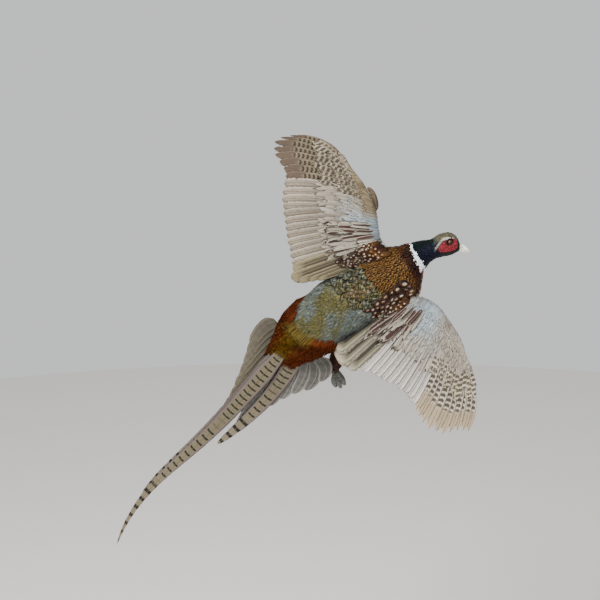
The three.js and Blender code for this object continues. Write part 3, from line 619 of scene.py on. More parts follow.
def surface_material(name, ground, roughness, spread=0.12, spread_mm=4.0, relief=0.3, relief_mm=1.0,
                     warty=False, stretch=(1, 1, 1), grain=None, sockets=None):
    """A solid finish: a colour or attribute varied in clouds, with fine relief of the given size."""
    material, tree = new_material(name)
    place = add(tree, "Mapping", sockets={"Vector": add(tree, "TexCoord", output="Object"), "Scale": stretch})
    cloud = add(tree, "TexNoise", sockets={"Vector": place, "Scale": 1000 / spread_mm, "Detail": 5.0})
    colour = colour_of(tree, ground)
    if grain:
        veins = add(tree, "MapRange", cloud, 0.4, 0.62)
        colour = add(tree, "Mix", sockets={0: veins, 6: colour, 7: linear(grain)}, **COLOUR)
    shade = add(tree, "Math", cloud, 2 * spread, 1.0 - spread, operation="MULTIPLY_ADD")
    colour = add(tree, "HueSaturation", sockets={"Color": colour, "Value": shade})
    if warty:
        bumps = add(tree, "TexVoronoi", sockets={"Vector": place, "Scale": 1000 / relief_mm}, feature="F1")
    else:
        bumps = add(tree, "TexNoise", sockets={"Vector": place, "Scale": 1000 / relief_mm, "Detail": 4.0})
    bump = add(tree, "Bump", sockets={"Height": bumps, "Strength": relief, "Distance": 0.0004})
    finish_material(tree, {"Base Color": colour, "Roughness": roughness, "Normal": bump, **(sockets or {})})
    return material


# ---- the parts of the coat
class Tract:
    """A surface that carries feathers, with its coat's depth and its place on the unwrap of the skin."""

    def __init__(self, surface, u_span, v_span, aft, depth, corner, size):
        self.surface, self.u_span, self.v_span, self.aft, self.depth = surface, u_span, v_span, aft, depth
        self.corner, self.size = np.array(corner), np.array(size)

    def place(self, u, v):
        share = [np.clip((w - low) / (high - low), 0, 1) for w, (low, high) in
                 ((u, self.u_span), (v, self.v_span))]
        return self.corner + 0.01 + np.stack(share, -1) * (self.size - 0.02)

    def slope(self, u, v):
        """Millimetres along the surface for one step of u."""
        return np.linalg.norm(slopes(self.surface, u, v, 0.0)[1], axis=-1)


def arm_depth(chord, feather):
    deepest = along(ARM_DEPTHS, feather)[..., 0]
    hump = np.sin(np.pi * np.clip(chord / COVERT_LINE, 0, 1) ** 0.75)
    return np.clip(0.22 * (3 + (deepest - 3) * hump), 0.5, 3.2)


TRACTS = {
    "body": Tract(body_point, (0, LAST_STATION), (-np.pi, np.pi), -1, lambda s, a: coat_depth(s), (0, 0),
                  (0.6, 1)),
}
for row, (side, face) in enumerate((side, face) for side in WINGS for face in ("over", "under")):
    TRACTS[side + "_" + face] = Tract(wing_surface(WINGS[side], face == "over"), (-0.05, 1), (0, FEATHERS), 1,
                                      arm_depth, (0.6, 0.8 - 0.2 * row), (0.4, 0.2))
for column, side in enumerate(LEGS):
    TRACTS[side + "_thigh"] = Tract(limb_surface(LEGS[side]), (0, 1.2), (0, 2 * np.pi), 1,
                                    lambda share, angle: 4 - 2.2 * np.clip(share, 0, 1),
                                    (0.6 + 0.2 * column, 0), (0.2, 0.2))

# millimetres from one station of the head to the next, and the height of the eyes over its middle line
HEAD_STEP = np.linalg.norm(body_frame(EYE_STATION + 0.5)[0] - body_frame(EYE_STATION - 0.5)[0])
EYE_HIGH = float(body_frame(np.array([EYE_STATION]))[4][0, 1] * np.cos(EYE_ANGLE))


def head_place(station, angle):
    """Millimetres ahead of the eye and above the head's middle line."""
    tall = body_frame(np.clip(station, 0, LAST_STATION))[4][..., 1]
    return np.stack([(station - EYE_STATION) * HEAD_STEP, tall * np.cos(angle)], -1)


def in_wattle(station, angle, grow):
    place = (head_place(station, angle) - WATTLE_CENTRE) / (WATTLE_HALF + grow)
    return (place ** 2).sum(-1) < 1


def near_eye(station, angle, reach):
    return np.linalg.norm(head_place(station, angle) - (0, EYE_HIGH), axis=-1) < reach


def body_zone(station, angle):
    """Which tract of plumage lies at a station and angle of the body."""
    turn = np.degrees(angle)
    wide = np.abs(turn)
    angles = (-180, -90, -60, -30, 15, 50, 90, 180)
    half = np.interp(turn, angles, (0.2, 0.38, 0.38, 0.2, 0.07, 0.04, 0.05, 0.2))
    middle = np.interp(turn, angles, (8.2, 8.1, 8.05, 8.08, 8.15, 8.3, 8.35, 8.1))
    waver = 0.05 * np.sin(9 * angle) + 0.04 * np.sin(23 * angle + 1)
    tests = [
        ("bare", in_wattle(station, angle, -0.6) | near_eye(station, angle, 7.5)),
        ("head", (station > 10.9) | ((station > 10.1) & (wide < 84))),
        ("neck", station > middle + half + waver),
        ("collar", station > middle - half + waver),
        ("tail_coverts", (station < 0.9 + ((turn - 20) / 65) ** 2) & (wide < 112) & (station < 1.9)),
        ("vent", (station < 1.8) & (wide > 84)),
        ("belly", (wide > 138) & (station < 5.4)),
        ("breast", (wide > 98) & (station >= 5.3)),
        ("flank", wide > 93),
        ("rump", station < 3.3 - 0.006 * turn),
        ("scapular", ((turn < -25) & (station < 6.1)) | ((turn > 55) & (station > 4.4) & (station < 6.0))),
        ("back", station < 4.5),
    ]
    return np.select([test for _, test in tests], [name for name, _ in tests], default="mantle")


def palette(*codes):
    return np.array([linear(code) for code in codes])


def shades(rng, count, *codes, sharp=0.7):
    """Random mixtures of colours, one for each of count feathers."""
    return rng.dirichlet([sharp] * len(codes), count) @ palette(*codes)


def paint(first, second, share):
    """The first colour where the share is 0, the second where it is 1."""
    return first + (second - first) * np.clip(share, 0, 1)[..., None]


def plain(ground, mark, sharp=0.7, mark_sharp=0.7):
    """A painter that draws every feather's ground and marks from two ranges of colours."""
    def painter(u, v, rng):
        return {"Ground": shades(rng, len(u), *ground, sharp=sharp),
                "Mark": shades(rng, len(u), *mark, sharp=mark_sharp)}
    return painter


paint_breast = plain(("#6c2512", "#5e2010", "#7c3414"), ("#140d14", "#1c1016"))
paint_flank = plain(("#b5772c", "#a4641e", "#c08a44"), ("#140d14", "#241410"))
paint_belly = plain(("#2b1d15", "#3a281c", "#1c1410"), ("#140d0a",))
paint_vent = plain(("#5a2f18", "#6c3a1c", "#4a2614"), ("#2a1810",))
paint_tuft = plain(("#3a120c", "#2a0e0c", "#4a1c10"), ("#160a08",))
paint_under = plain(("#d8cfbc", "#cbbfa6", "#e0d9c9"), ("#8a7656", "#a08c6a"))
paint_long_scapulars = plain(("#3a1c18", "#2a1816", "#4c1c12", "#2e2420"),
                             ("#6e6a58", "#7c7866", "#5a5446", "#8a8674"), 0.5, 0.6)
paint_chequers = {
    "left": plain(("#a0937a", "#8c8068", "#b0a48c"), ("#2e241a", "#3c3022")),
    "right": plain(("#c4b79c", "#b3a588", "#d0c5ad"), ("#45392a", "#504434")),
}


def paint_head(s, turn, rng):
    n, wide = len(s), np.abs(turn)
    colour = shades(rng, n, "#080f0e", "#0a1714", "#0d0c12")
    nape = shades(rng, n, "#0a231e", "#0d1a30", "#081813")
    colour = paint(colour, nape, ramp(-s, -11.6, -11.0) * (wide < 100))
    crown = shades(rng, n, "#5f5a40", "#545038", "#3c3c28", "#6a6652", sharp=2.0)
    colour = paint(colour, crown, ramp(-wide, -46, -38) * ramp(s, 10.1, 10.6) * ramp(-s, -13.6, -13.1))
    brow = paint(shades(rng, n, "#e2ded2", "#ccc8ba", "#b8b4a4"), shades(rng, n, "#bfa89c", "#a48c7e"),
                 ramp(s, 12.1, 12.9))
    edge = ramp(wide, 35, 39) * ramp(-wide, -52, -47) * ramp(s, 11.0, 11.3) * ramp(-s, -13.2, -12.7)
    # behind the wattle the pale stripe runs down to the ear
    behind = np.exp(-((wide - 44 - 32 * (11.2 - s)) / 6) ** 2) * ramp(s, 10.1, 10.4) * ramp(-s, -11.6, -11.2)
    return {"Ground": paint(colour, brow, np.maximum(edge, 0.8 * behind)), "Mark": colour * 0.4}


def paint_neck(s, turn, rng):
    n = len(s)
    colour = shades(rng, n, "#020c09", "#040f0c", "#030808", "#020706", sharp=2.0)
    blue = shades(rng, n, "#040816", "#070510", "#030409", "#060d1e", sharp=2.0)
    low = ramp(-turn, 5, 50) * ramp(turn, -150, -115)
    colour = paint(colour, blue, np.clip(low + 0.2 * rng.normal(0, 1, n), 0, 1))
    return {"Ground": colour, "Mark": colour * 0.3, "Lustre": paint(
        shades(rng, n, "#041c13", "#061c18", "#020e0a", sharp=2.0),
        shades(rng, n, "#090f26", "#10091f", "#071324", sharp=2.0), low)}


def paint_collar(s, turn, rng):
    white = shades(rng, len(s), "#f6fbff", "#fdfdfb", "#eaf1f8", sharp=2.0) * (1.25, 1.25, 1.25, 1)
    return {"Ground": white, "Mark": white * 0.9}


def paint_mantle(s, turn, rng):
    n = len(s)
    gold = shades(rng, n, "#80582a", "#6c4620", "#8c6a34", "#745626", sharp=1.0)
    copper = shades(rng, n, "#54260f", "#3b1a0c", "#66350f", sharp=1.2)
    toward = np.clip(ramp(-turn, 25, 70) * 0.8 + ramp(s, 6.5, 7.2) * 0.9, 0, 1)
    colour = paint(gold, copper, toward)
    dark = shades(rng, n, "#0c0808", "#120a08")
    maroon = shades(rng, n, "#2a0d0a", "#1c0a0a", "#3a1409")
    colour = paint(colour, maroon, 0.9 * ramp(s, 6.7, 7.3) * ramp(-turn, -20, 10))
    colour = paint(colour, dark, 0.6 * ramp(s, 7.2, 7.6) * (rng.uniform(size=n) < 0.6))
    return {"Ground": colour, "Mark": dark}


def paint_scapular(s, turn, rng):
    n = len(s)
    dusky = shades(rng, n, "#2e2020", "#261a1a", "#3e302c")
    tawny = shades(rng, n, "#64401e", "#503016", "#785224")
    ground = paint(dusky, tawny, ramp(-turn, 46, 66) * 0.95 * (rng.uniform(size=n) < 0.8))
    return {"Ground": ground, "Mark": shades(rng, n, "#e0d0bc", "#c8b096", "#a08468", "#6e5a4c", sharp=0.35)}


def paint_back(s, turn, rng):
    n = len(s)
    ground = shades(rng, n, "#0f0e0b", "#0a0908", "#17150f", "#24221a", sharp=0.5)
    mark = shades(rng, n, "#706c40", "#535840", "#62582e", "#7f7b60", sharp=0.35)
    grey = shades(rng, n, "#606967", "#4b5351", "#727975")
    cloud = 9 * np.sin(4.1 * s + turn / 9) + 8 * rng.normal(0, 1, n)
    share = ramp(np.abs(turn - 12) + cloud, 26, 52) * 0.6
    # chestnut feathers lie along the spine
    chestnut = shades(rng, n, "#3c2016", "#4a2c18")
    ground = paint(ground, chestnut, ramp(-np.abs(turn - 4), -24, -8) * (rng.uniform(size=n) < 0.5))
    return {"Ground": paint(ground, grey * 0.3, share * 0.5), "Mark": paint(mark, grey, share)}


def paint_rump(s, turn, rng):
    n = len(s)
    middle = shades(rng, n, "#857c4a", "#6f6c4a", "#5c5f4c", "#908756", sharp=0.9)
    sides = shades(rng, n, "#86938f", "#74827f", "#95998c", "#525c5e", sharp=0.9)
    cloud = 15 * np.sin(3.1 * s + turn / 17) + 12 * np.sin(5.7 * s - turn / 9) + 6 * rng.normal(0, 1, n)
    colour = paint(middle, sides, 0.95 * ramp(np.abs(turn - 10) + cloud, 14, 42))
    # green-gold spots glint through the grey fringes, and the far flank is dusky
    glint = ramp(np.sin(7.3 * s + turn / 6) * np.sin(11 * s - turn / 4), 0.45, 0.8)
    colour = paint(colour, shades(rng, n, "#857a2e", "#6c6a30"), 0.5 * glint)
    dusk = ramp(-turn, 42, 68) * (0.35 + 0.65 * ramp(s, 1.6, 2.6))
    colour = paint(colour, shades(rng, n, "#39353a", "#4a4648", "#2c2624"), dusk)
    # the mark colour is the painted shade at the root of each strand
    return {"Ground": colour, "Mark": colour * (0.6, 0.6, 0.6, 1)}


def paint_tail_coverts(s, turn, rng):
    n = len(s)
    rust = shades(rng, n, "#56240c", "#6c3014", "#42190a", "#783a14", sharp=1.0)
    gold = shades(rng, n, "#6a4408", "#7a5410", "#625016", "#78621c", sharp=1.0)
    cloud = 8 * np.sin(6 * s + turn / 8) + 5 * rng.normal(0, 1, n)
    colour = paint(gold, rust, ramp(np.abs(turn - 16) + cloud, 8, 42))
    green = shades(rng, n, "#70683c", "#6c6436")
    # the mark colour is the painted shade at the root of each strand
    return {"Ground": paint(colour, green, ramp(s, 0.4, 1.3) * ramp(-np.abs(turn - 16), -42, -12) * 0.8),
            "Mark": colour * (0.55, 0.5, 0.5, 1)}


def tail_covert_length(station, angle):
    """The upper tail coverts are longest over the middle feathers and end short of them on the right."""
    return 47 - 19 * ramp(-np.degrees(angle), 5, 45)


def paint_thigh(s, turn, rng):
    n = len(s)
    dun = shades(rng, n, "#3c281a", "#4a321e", "#2e1f15")
    maroon = shades(rng, n, "#2c110c", "#3a1a10", "#200c0a")
    return {"Ground": paint(dun, maroon, ramp(s, 0.5, 0.9)), "Mark": shades(rng, n, "#1a100c")}


def coat_materials():
    """Feather finishes. Each mark is: strength, shape with its sizes, and colour."""
    # painted shade: loose strands are darker towards the root, where they lie under the others
    shaded_roots = [(0.5, ("tip", 0.3, -0.2), "Mark")]
    return {
        # dull black-brown and buff; short dense face and crown feathers, hardly a gloss
        "head": feather_material("head_feather", [], roughness=0.6, barb_mm=0.7, vary=0.08, painted_root_shade=0.15),
        # bottle green with blue and violet sheen that shifts with the angle
        "neck": feather_material("neck_feather", [(0.5, ("rim", 0.7, 1.0, 0.5), "Mark")], roughness=0.42,
                                 barb_mm=0.7, gloss=("Lustre", "#0d081a", 0.55), vary=0.1, shine=0.09),
        # clean white with soft grey shadow between the tips
        "collar": feather_material("collar_feather", [], roughness=0.7, barb_mm=0.8, vary=0.03,
                                   barb_depth=0.04, painted_root_shade=0.06),
        # gold to copper with a black dash near the tip and a pale fringe
        "mantle": feather_material("mantle_feather", roughness=0.6, painted_root_shade=0.55, shine=0.08, marks=[
            (0.6, ("rim", 0.4, 0.6, 0.3), "Mark"), (1, ("rim", 0.66, 0.78, 0.45), "Ground"),
            (1, ("drop", 0.84, 0.42, 0.2, 0.5), "Mark"), (0.6, ("rim", 0.9, 1.0, 0.6), "#2a1408")]),
        # a cream drop ringed with black-maroon, then gold and maroon to the edge
        "scapular": feather_material("scapular_feather", roughness=0.6, painted_root_shade=0.55, shine=0.1, marks=[
            (0.9, ("drop", 0.78, 0.62, 0.22, 0.7), "#120a09"), (1, ("drop", 0.8, 0.4, 0.12, 0.6), "Mark"),
            (0.5, ("rim", 0.78, 0.86, 0.5), "#5a3618"), (0.8, ("rim", 0.9, 0.98, 0.6), "#22100d"),
            (0.5, ("mottle", 3.0, 0.52), "#1c1210")]),
        # near black, crossed by yellow-green bows
        "back": feather_material("back_feather", roughness=0.6, painted_root_shade=0.55, shine=0.1, marks=[
            (1, ("rim", 0.46, 0.58, 0.4), "Mark"), (1, ("rim", 0.7, 0.78, 0.5), "Ground"),
            (0.6, ("rim", 0.86, 0.96, 0.6), "Mark"), (0.9, ("mottle", 5.0, 0.54), "Ground")]),
        # long inner scapulars: a grey oval that fills most of the feather, edged with maroon
        "long_scapular": feather_material("long_scapular_feather", roughness=0.6, painted_root_shade=0.5, shine=0.1,
                                          marks=[(1, ("drop", 0.72, 0.7, 0.26, 0.35), "Mark"),
                                                 (0.7, ("rim", 0.88, 0.97, 0.6), "#a2947c"),
                                                 (0.4, ("mottle", 3.0, 0.5), "#3a302a")]),
        # loose hair-like fringes, slate green
        "rump": feather_material("rump_feather", shaded_roots, roughness=0.55, barb_depth=0.06, vary=0.1,
                                 painted_root_shade=0.15, shine=0.1),
        # the same fringes, rust and gold
        "tail_coverts": feather_material("tail_covert_feather", shaded_roots, roughness=0.6, barb_depth=0.06,
                                         vary=0.1, painted_root_shade=0.2, shine=0.06),
        # copper and gold scales with broad black ends
        "breast": feather_material("breast_feather", [(1, ("rim", 0.8, 0.95, 0.5), "Mark")], roughness=0.45,
                                   shine=0.15),
        # tawny with black tips
        "flank": feather_material("flank_feather", [(1, ("tip", 0.84, 0.96), "Mark")], roughness=0.5),
        # dull brown and loose, for the belly, the vent and the thighs
        "soft": feather_material("belly_feather", [(0.5, ("rim", 0.7, 1.0, 0.4), "Mark")], roughness=0.75),
        # wing shoulder: smooth slate blue to beige, with soft lengthwise shading
        "covert_plain": feather_material("plain_covert", [(0.5, ("lines", 2.8, 0.2), "Mark")], roughness=0.6,
                                         barb_depth=0.05, vary=0.1, painted_root_shade=0.14),
        # maroon and black streaks edged with off-white
        "covert_streaked": feather_material("streaked_covert", ground="Mark", roughness=0.6, painted_root_shade=0.2,
                                            marks=[(1, ("streak", -0.66, 0.8, 0.0, 0.98), "Ground"),
                                                   (0.35, ("lines", 2.4, 0.2), "#4a4038")]),
        # the primaries' coverts carry the chequers of the quills they lie over
        "covert_chequered": feather_material("chequered_covert", roughness=0.55, marks=[
            (1, ("bars", 10.4, 0.6, -0.7, 0.74, 0.0, 1.1, -0.2), "Mark"),
            (0.3, ("lines", 2.2, 0.2), "#8a8074")]),
        # cream with brown bars, under the wing
        "under": feather_material("under_covert", roughness=0.7, marks=[
            (0.7, ("bars", 7.0, 0.4, -0.9, 0.9, 0.2, 0.95, 0.3), "Mark")]),
    }


# name, zone, shape, row step, gap, length, half width (in mm), painter, slot
BODY_COAT = [
    ("crown_and_face_feathers", "head", SMALL_VANE, 2.0, 1.8, 5.8, 1.5, paint_head, "head_plumage"),
    ("neck_feathers", "neck", SMALL_VANE, 3.0, 2.6, 10, 2.5, paint_neck, "head_plumage"),
    ("collar_feathers", "collar", SMALL_VANE, 2.2, 2.2, 8.0, 2.5, paint_collar, "head_plumage"),
    ("mantle_feathers", "mantle", BROAD_VANE, 7.4, 6.8, 21, 5.7, paint_mantle, "back_plumage"),
    ("scapular_feathers", "scapular", BROAD_VANE, 11.4, 11.4, 33, 8.8, paint_scapular, "back_plumage"),
    ("back_feathers", "back", BROAD_VANE, 9.0, 9.0, 28, 7.6, paint_back, "back_plumage"),
    ("rump_feathers", "rump", STRAND_VANE, 2.2, 2.5, 27, 1.15, paint_rump, "rump_plumage"),
    ("upper_tail_coverts", "tail_coverts", STRAND_VANE, 2.2, 2.3, tail_covert_length, 1.15,
     paint_tail_coverts, "rump_plumage"),
    ("breast_feathers", "breast", BROAD_VANE, 8.0, 8.0, 24, 7.5, paint_breast, "back_plumage"),
    ("flank_feathers", "flank", BROAD_VANE, 9.0, 9.0, 30, 8.5, paint_flank, "back_plumage"),
    ("belly_feathers", "belly", BROAD_VANE, 8.0, 9.0, 24, 7.5, paint_belly, "back_plumage"),
    ("vent_feathers", "vent", BROAD_VANE, 7.0, 7.0, 26, 5.5, paint_vent, "rump_plumage"),
]
PAINTERS = {zone: painter for _, zone, *_, painter, _ in BODY_COAT}
# how far along a feather the part lies that shows between the others
SHOWN = 0.78


def lay_tract(name, tract, shape, u_range, v_range, step, gap, length, half, material, painter, slot, rng,
              keep=None, tip=0.0, **lie):
    """Lays one zone's feathers; the zone and the colours go by where each feather shows."""
    u, v = rows_over(tract.surface, u_range, v_range, step, gap, rng)
    length = np.broadcast_to(length(u, v) if callable(length) else length, u.shape)
    shown = u + tract.aft * SHOWN * length / tract.slope(u, v)
    if keep:
        kept = keep(shown, v)
        u, v, shown, length = u[kept], v[kept], shown[kept], length[kept]
    if not len(u):
        return None
    laid = lay(tract.surface, shape, u, v, tract.aft, length, half, 0.6 - tract.depth(u, v), tip, rng, **lie)
    return coat_piece(name, shape, laid, tract.place(u, v), painter(shown, v, rng), material, slot)


def combed(station, angle):
    """Hair-like fringes part and close in soft waves; their turn from the spine's direction, in radians."""
    return np.radians(9 * np.sin(5.3 * station + 4 * angle) + 6 * np.sin(11 * station - 7 * angle))


def by_degrees(painter):
    return lambda station, angle, rng: painter(station, np.degrees(angle), rng)


LOOSE = {"turn": combed, "camber": 0.25, "ragged": 0.05}
# how the feathers of a zone lie; the tip is how far, in mm, they stand over the outline at the end
ZONE_LIE = {"collar": {"camber": 0.08}, "rump": {"tip": 0.6, **LOOSE}, "tail_coverts": {"tip": 8.0, **LOOSE}}


def lay_body_coat(settings):
    rng = np.random.default_rng(settings.seed)
    materials = coat_materials()
    for name, zone, shape, step, gap, length, half, painter, slot in BODY_COAT:
        lay_tract(name, TRACTS["body"], shape, (-0.2, 14.6), (-np.pi, np.pi), step / settings.density,
                  gap / settings.density, length, half, materials.get(zone, materials["soft"]),
                  by_degrees(painter), slot, rng, keep=lambda s, a: body_zone(s, a) == zone,
                  **ZONE_LIE.get(zone, {}))
    for side in LEGS:
        tract = TRACTS[side + "_thigh"]
        lay_tract(side + "_thigh_feathers", tract, BROAD_VANE, (-0.1, 1.0), (0, 2 * np.pi), 6.5, 6.0, 24, 5.0,
                  materials["soft"], paint_thigh, "thigh_plumage", rng)
        # maroon feathers hang loose over the top of the shank
        lay_tract(side + "_shank_tuft", tract, BROAD_VANE, (0.72, 1.02), (0, 2 * np.pi), 6.0, 5.0, 34, 4.0,
                  materials["soft"], paint_tuft, "thigh_plumage", rng, tip=7.0, wander=9.0)


# ---- wings
def paint_wing(side):
    """Slate-blue round the wrist, beige towards the hand and the quills, tan along the leading edge."""
    left = side == "left"
    wrist, shade, dusky = (9.0, (0.6, 0.64, 0.68, 1), 0.7) if left else (8.0, (0.88, 0.9, 0.92, 1), 0.2)

    def painter(chord, feather, rng):
        n = len(chord)
        blue = shades(rng, n, "#b9c4ca", "#a4b0b6", "#c9d1d3", "#8d989e", sharp=1.6)
        beige = shades(rng, n, "#aea392", "#9c907d", "#bfb6a6", "#8a7f70", sharp=1.6)
        tan = shades(rng, n, "#84745a", "#6e5e44", "#94866a")
        share = 1.25 * np.exp(-((feather - wrist) / 4.2) ** 2) * ramp(-chord, -0.46, -0.26)
        blue = paint(blue, blue * shade, ramp(-chord, -0.2, -0.08))
        colour = paint(beige, blue, share + 0.1 * rng.normal(0, 1, n))
        colour = paint(colour, tan, ramp(-chord, -0.2, -0.12) * ramp(feather, 11, 15) * left)
        # the inner shoulder is dusky, and dark flecks run down from it
        dusk = shades(rng, n, "#4c4a48", "#5c5650")
        near = ramp(-feather, -8.5, -5.5) * ramp(-chord, -0.2, -0.1)
        colour = paint(colour, dusk, np.maximum(dusky * near, 0.5 * (rng.uniform(size=n) < 0.035)))
        return {"Ground": colour, "Mark": colour * (0.55, 0.52, 0.5, 1)}
    return painter


def covert_kind(side, chord, feather):
    """Which plumage lies at a place of the wing's upper side."""
    if side == "left":
        spotted = feather < 5.2 - 3.6 * np.abs(chord - 0.1) + 0.4 * np.sin(9 * chord)
        chequers = (feather > 15.2 + 3 * chord) & (chord > 0.17)
    else:
        spotted = (feather < 2.0) & (chord < 0.3)
        chequers = (feather > 14.2) & (chord > 0.36)
    return np.select([spotted, chequers], ["spotted", "chequered"], default="plain")


# how much broader and further apart than the plain coverts the chequered ones are
BROADER = {"plain": 1.0, "chequered": 1.45}


# name, shape, chords of the roots, row step, gap, length, half width (in mm), feather numbers
COVERT_ROWS = [
    ("marginal_coverts", SMALL_VANE, (-0.02, 0.07), 3.0, 2.6, 18, 1.9, (1.2, 24.6)),
    ("lesser_coverts", SMALL_VANE, (0.05, 0.15), 4.2, 2.8, 29, 2.0, (1.2, 24)),
    ("median_coverts", COVERT_VANE, (0.14, 0.24), 6.0, 3.8, 42, 2.8, (1.2, 24)),
    ("greater_coverts", LONG_COVERT, (0.24, 0.33), 12.0, 5.0, 58, 3.7, (4.4, 24.4)),
]
# where the roots of the long scapulars lie: chords and feather numbers
LONG_SCAPULARS = {"left": ((0.16, 0.34), (0.8, 3.6)), "right": ((0.14, 0.2), (0.4, 1.6))}


def lay_wing_coverts(settings):
    rng = np.random.default_rng(settings.seed + 1)
    materials = coat_materials()
    for side in WINGS:
        over, under = TRACTS[side + "_over"], TRACTS[side + "_under"]
        painters = {"plain": paint_wing(side), "chequered": paint_chequers[side]}
        for name, shape, chords, step, gap, length, half, feathers in COVERT_ROWS:
            for kind, painter in painters.items():
                broad = BROADER[kind]
                lay_tract("%s_%s_%s" % (side, kind, name), over, shape, chords, feathers, step * broad,
                          gap * broad, length, half * broad, materials["covert_" + kind], painter,
                          "wing_coverts", rng, keep=lambda c, f: covert_kind(side, c, f) == kind, tip=0.3,
                          camber=0.1, wander=4.0, ragged=0.04)
        lay_streaks(side, over, materials["covert_streaked"], rng)
        # the outer scapulars run on over the root of the wing, and long grey ones lie behind them
        lay_tract(side + "_long_scapulars", over, BROAD_VANE, *LONG_SCAPULARS[side], 16.0, 11.5, 42, 8.2,
                  materials["long_scapular"], paint_long_scapulars, "wing_coverts", rng, tip=2.4)
        lay_tract(side + "_wing_root_feathers", over, BROAD_VANE, (0.0, 0.42), (0.4, 6.0), 8.4, 8.0, 24, 6.2,
                  materials["scapular"], paint_root, "wing_coverts", rng,
                  keep=lambda c, f: covert_kind(side, c, f) == "spotted", tip=2.6)
        for name, shape, chords, step, gap, length, half, _ in COVERT_ROWS:
            lay_tract(side + "_under_" + name, under, shape, chords, (3.2, 24), step * 1.3, gap * 1.2,
                      length * 0.9, half * 1.1, materials["under"], paint_under, "wing_coverts", rng, tip=0.3)


# the long inner coverts: first and last feather number, and at either end the chord of their roots and
# how many of them are maroon
STREAKS = {"left": ((4.2, 10.6), (0.03, 0.06), (0.85, 0.1)), "right": ((1.2, 6.8), (0.1, 0.1), (0.75, 0.55))}


def lay_streaks(side, tract, material, rng):
    """Rows of long inner coverts, maroon and cream by turns, that lie loose over the others."""
    (first, last), roots, reddish = STREAKS[side]
    for row, (name, length, half) in enumerate((("inner", 82, 3.3), ("middle", 64, 3.0), ("outer", 44, 2.7))):
        feather = np.arange(first, last, 0.54) + 0.18 * row
        n = len(feather)
        feather = feather + rng.uniform(-0.12, 0.12, n)
        chord = np.interp(feather, (first, last), roots) + 0.07 - 0.035 * row + rng.uniform(-0.02, 0.02, n)
        maroon = shades(rng, n, "#3c120d", "#200d0a", "#4c1c10", "#2c1a16", sharp=0.5)
        pale = shades(rng, n, "#aea695", "#9a9282", "#bdb5a6")
        red = (rng.uniform(size=n) < np.interp(feather, (first, last), reddish)) * 1.0
        colours = {"Ground": paint(pale, maroon, red),
                   "Mark": paint(shades(rng, n, "#5e554a", "#6e665a", "#46352e"), pale, red)}
        laid = lay(tract.surface, LONG_COVERT, chord, feather, 1, length, half,
                   1.8 - tract.depth(chord, feather), 2.0, rng, wander=3.5, ragged=0.05, lift=0.3)
        coat_piece("%s_%s_streaked_coverts" % (side, name), LONG_COVERT, laid, tract.place(chord, feather),
                   colours, material, "wing_coverts")


def paint_root(chord, feather, rng):
    n = len(chord)
    gold = shades(rng, n, "#6e451c", "#553116", "#42200f", "#80592a", sharp=0.5)
    grey = shades(rng, n, "#332824", "#3f3230", "#281a1a", "#4c1c12", sharp=0.4)
    colour = paint(gold, grey, np.maximum(ramp(chord, 0.12, 0.26), 0.8 * (rng.uniform(size=n) < 0.35)))
    colour[:, :3] *= (0.55 + 0.45 * ramp(chord, 0.06, 0.14))[:, None]
    cream = shades(rng, n, "#dcc6a0", "#c9a878", "#8a6234", sharp=0.5)
    spot = paint(cream, shades(rng, n, "#8c8674", "#a39a88"), ramp(chord, 0.16, 0.3))
    return {"Ground": colour, "Mark": spot}


def blade_width(t, base, close, power):
    """Share of the half width along a long feather: narrow at the quill, full, closed at the end."""
    widen = base + (1 - base) * np.sin(np.clip(t / 0.18, 0, 1) * np.pi / 2)
    end = np.clip((t - 1 + close) / close, 0, 1)
    return widen * np.sqrt(np.clip(1 - end ** power, 0.004, 1))


def blade(shape, place, length, half_out, half_in, rng, base=0.35, close=0.1, power=2.0, slope=0.8, level=0.0,
          ridge=0.5, fray=0.018):
    """A flight or tail feather; its outer side stands higher and lies over the next one's inner side."""
    t, x = shape.along, shape.across
    half = np.where(x > 0, half_out(t), half_in(t))
    edge = 1 + fray * rng.normal(0, 1, len(t)) * (np.abs(x) > 0.95) * (0.3 + 0.7 * ramp(t, 0.6, 0.95))
    x_mm = x * half * blade_width(t, base, close, power) * edge
    quill = ridge * (1 - 0.8 * t) * shape.quill
    height = level + slope * x * np.clip(t / 0.2, 0.2, 1) + quill - shape.under * FEATHER_THICKNESS
    chance = np.full(len(t), rng.uniform())
    vane = np.stack([x, t, chance], -1)
    lie = np.stack([x_mm, t * length, np.full(len(t), float(length))], -1)
    return place(t, x_mm, height), vane, lie


FLIGHT_VANE = Vane((-1, -0.75, -0.5, -0.25, -0.08, 0, 0.1, 0.35, 0.65, 1), 44, base=0.4, blunt=0.6,
                   quill=True)
TAIL_VANE = Vane((-1, -0.8, -0.6, -0.4, -0.2, -0.05, 0, 0.05, 0.2, 0.4, 0.6, 0.8, 1), 72, base=0.4, blunt=0.6,
                 quill=True)


def blades_piece(name, shape, made, materials, slot, replaces=()):
    """One object from several blades, each with its own strip of the bake map and its own finish on top."""
    points, vane, lie, finishes = zip(*made)
    points, vane, lie = (np.concatenate(part) for part in (points, vane, lie))
    sizes, corners = shape.repeated(len(made))
    # the underside has the first finish of the list
    faces = np.where(shape.face_sides == 1, 0, np.array(finishes)[:, None]).ravel()
    strip = np.repeat(np.arange(len(made)), shape.count)
    bake = np.stack([(strip + 0.5 + 0.47 * vane[:, 0]) / len(made), 0.01 + 0.98 * vane[:, 1]], -1)
    return new_piece(name, points, sizes, corners, materials, slot, replaces=replaces,
                     face_materials=faces, attributes={"Vane": vane, "Lie": lie}, bake=bake)


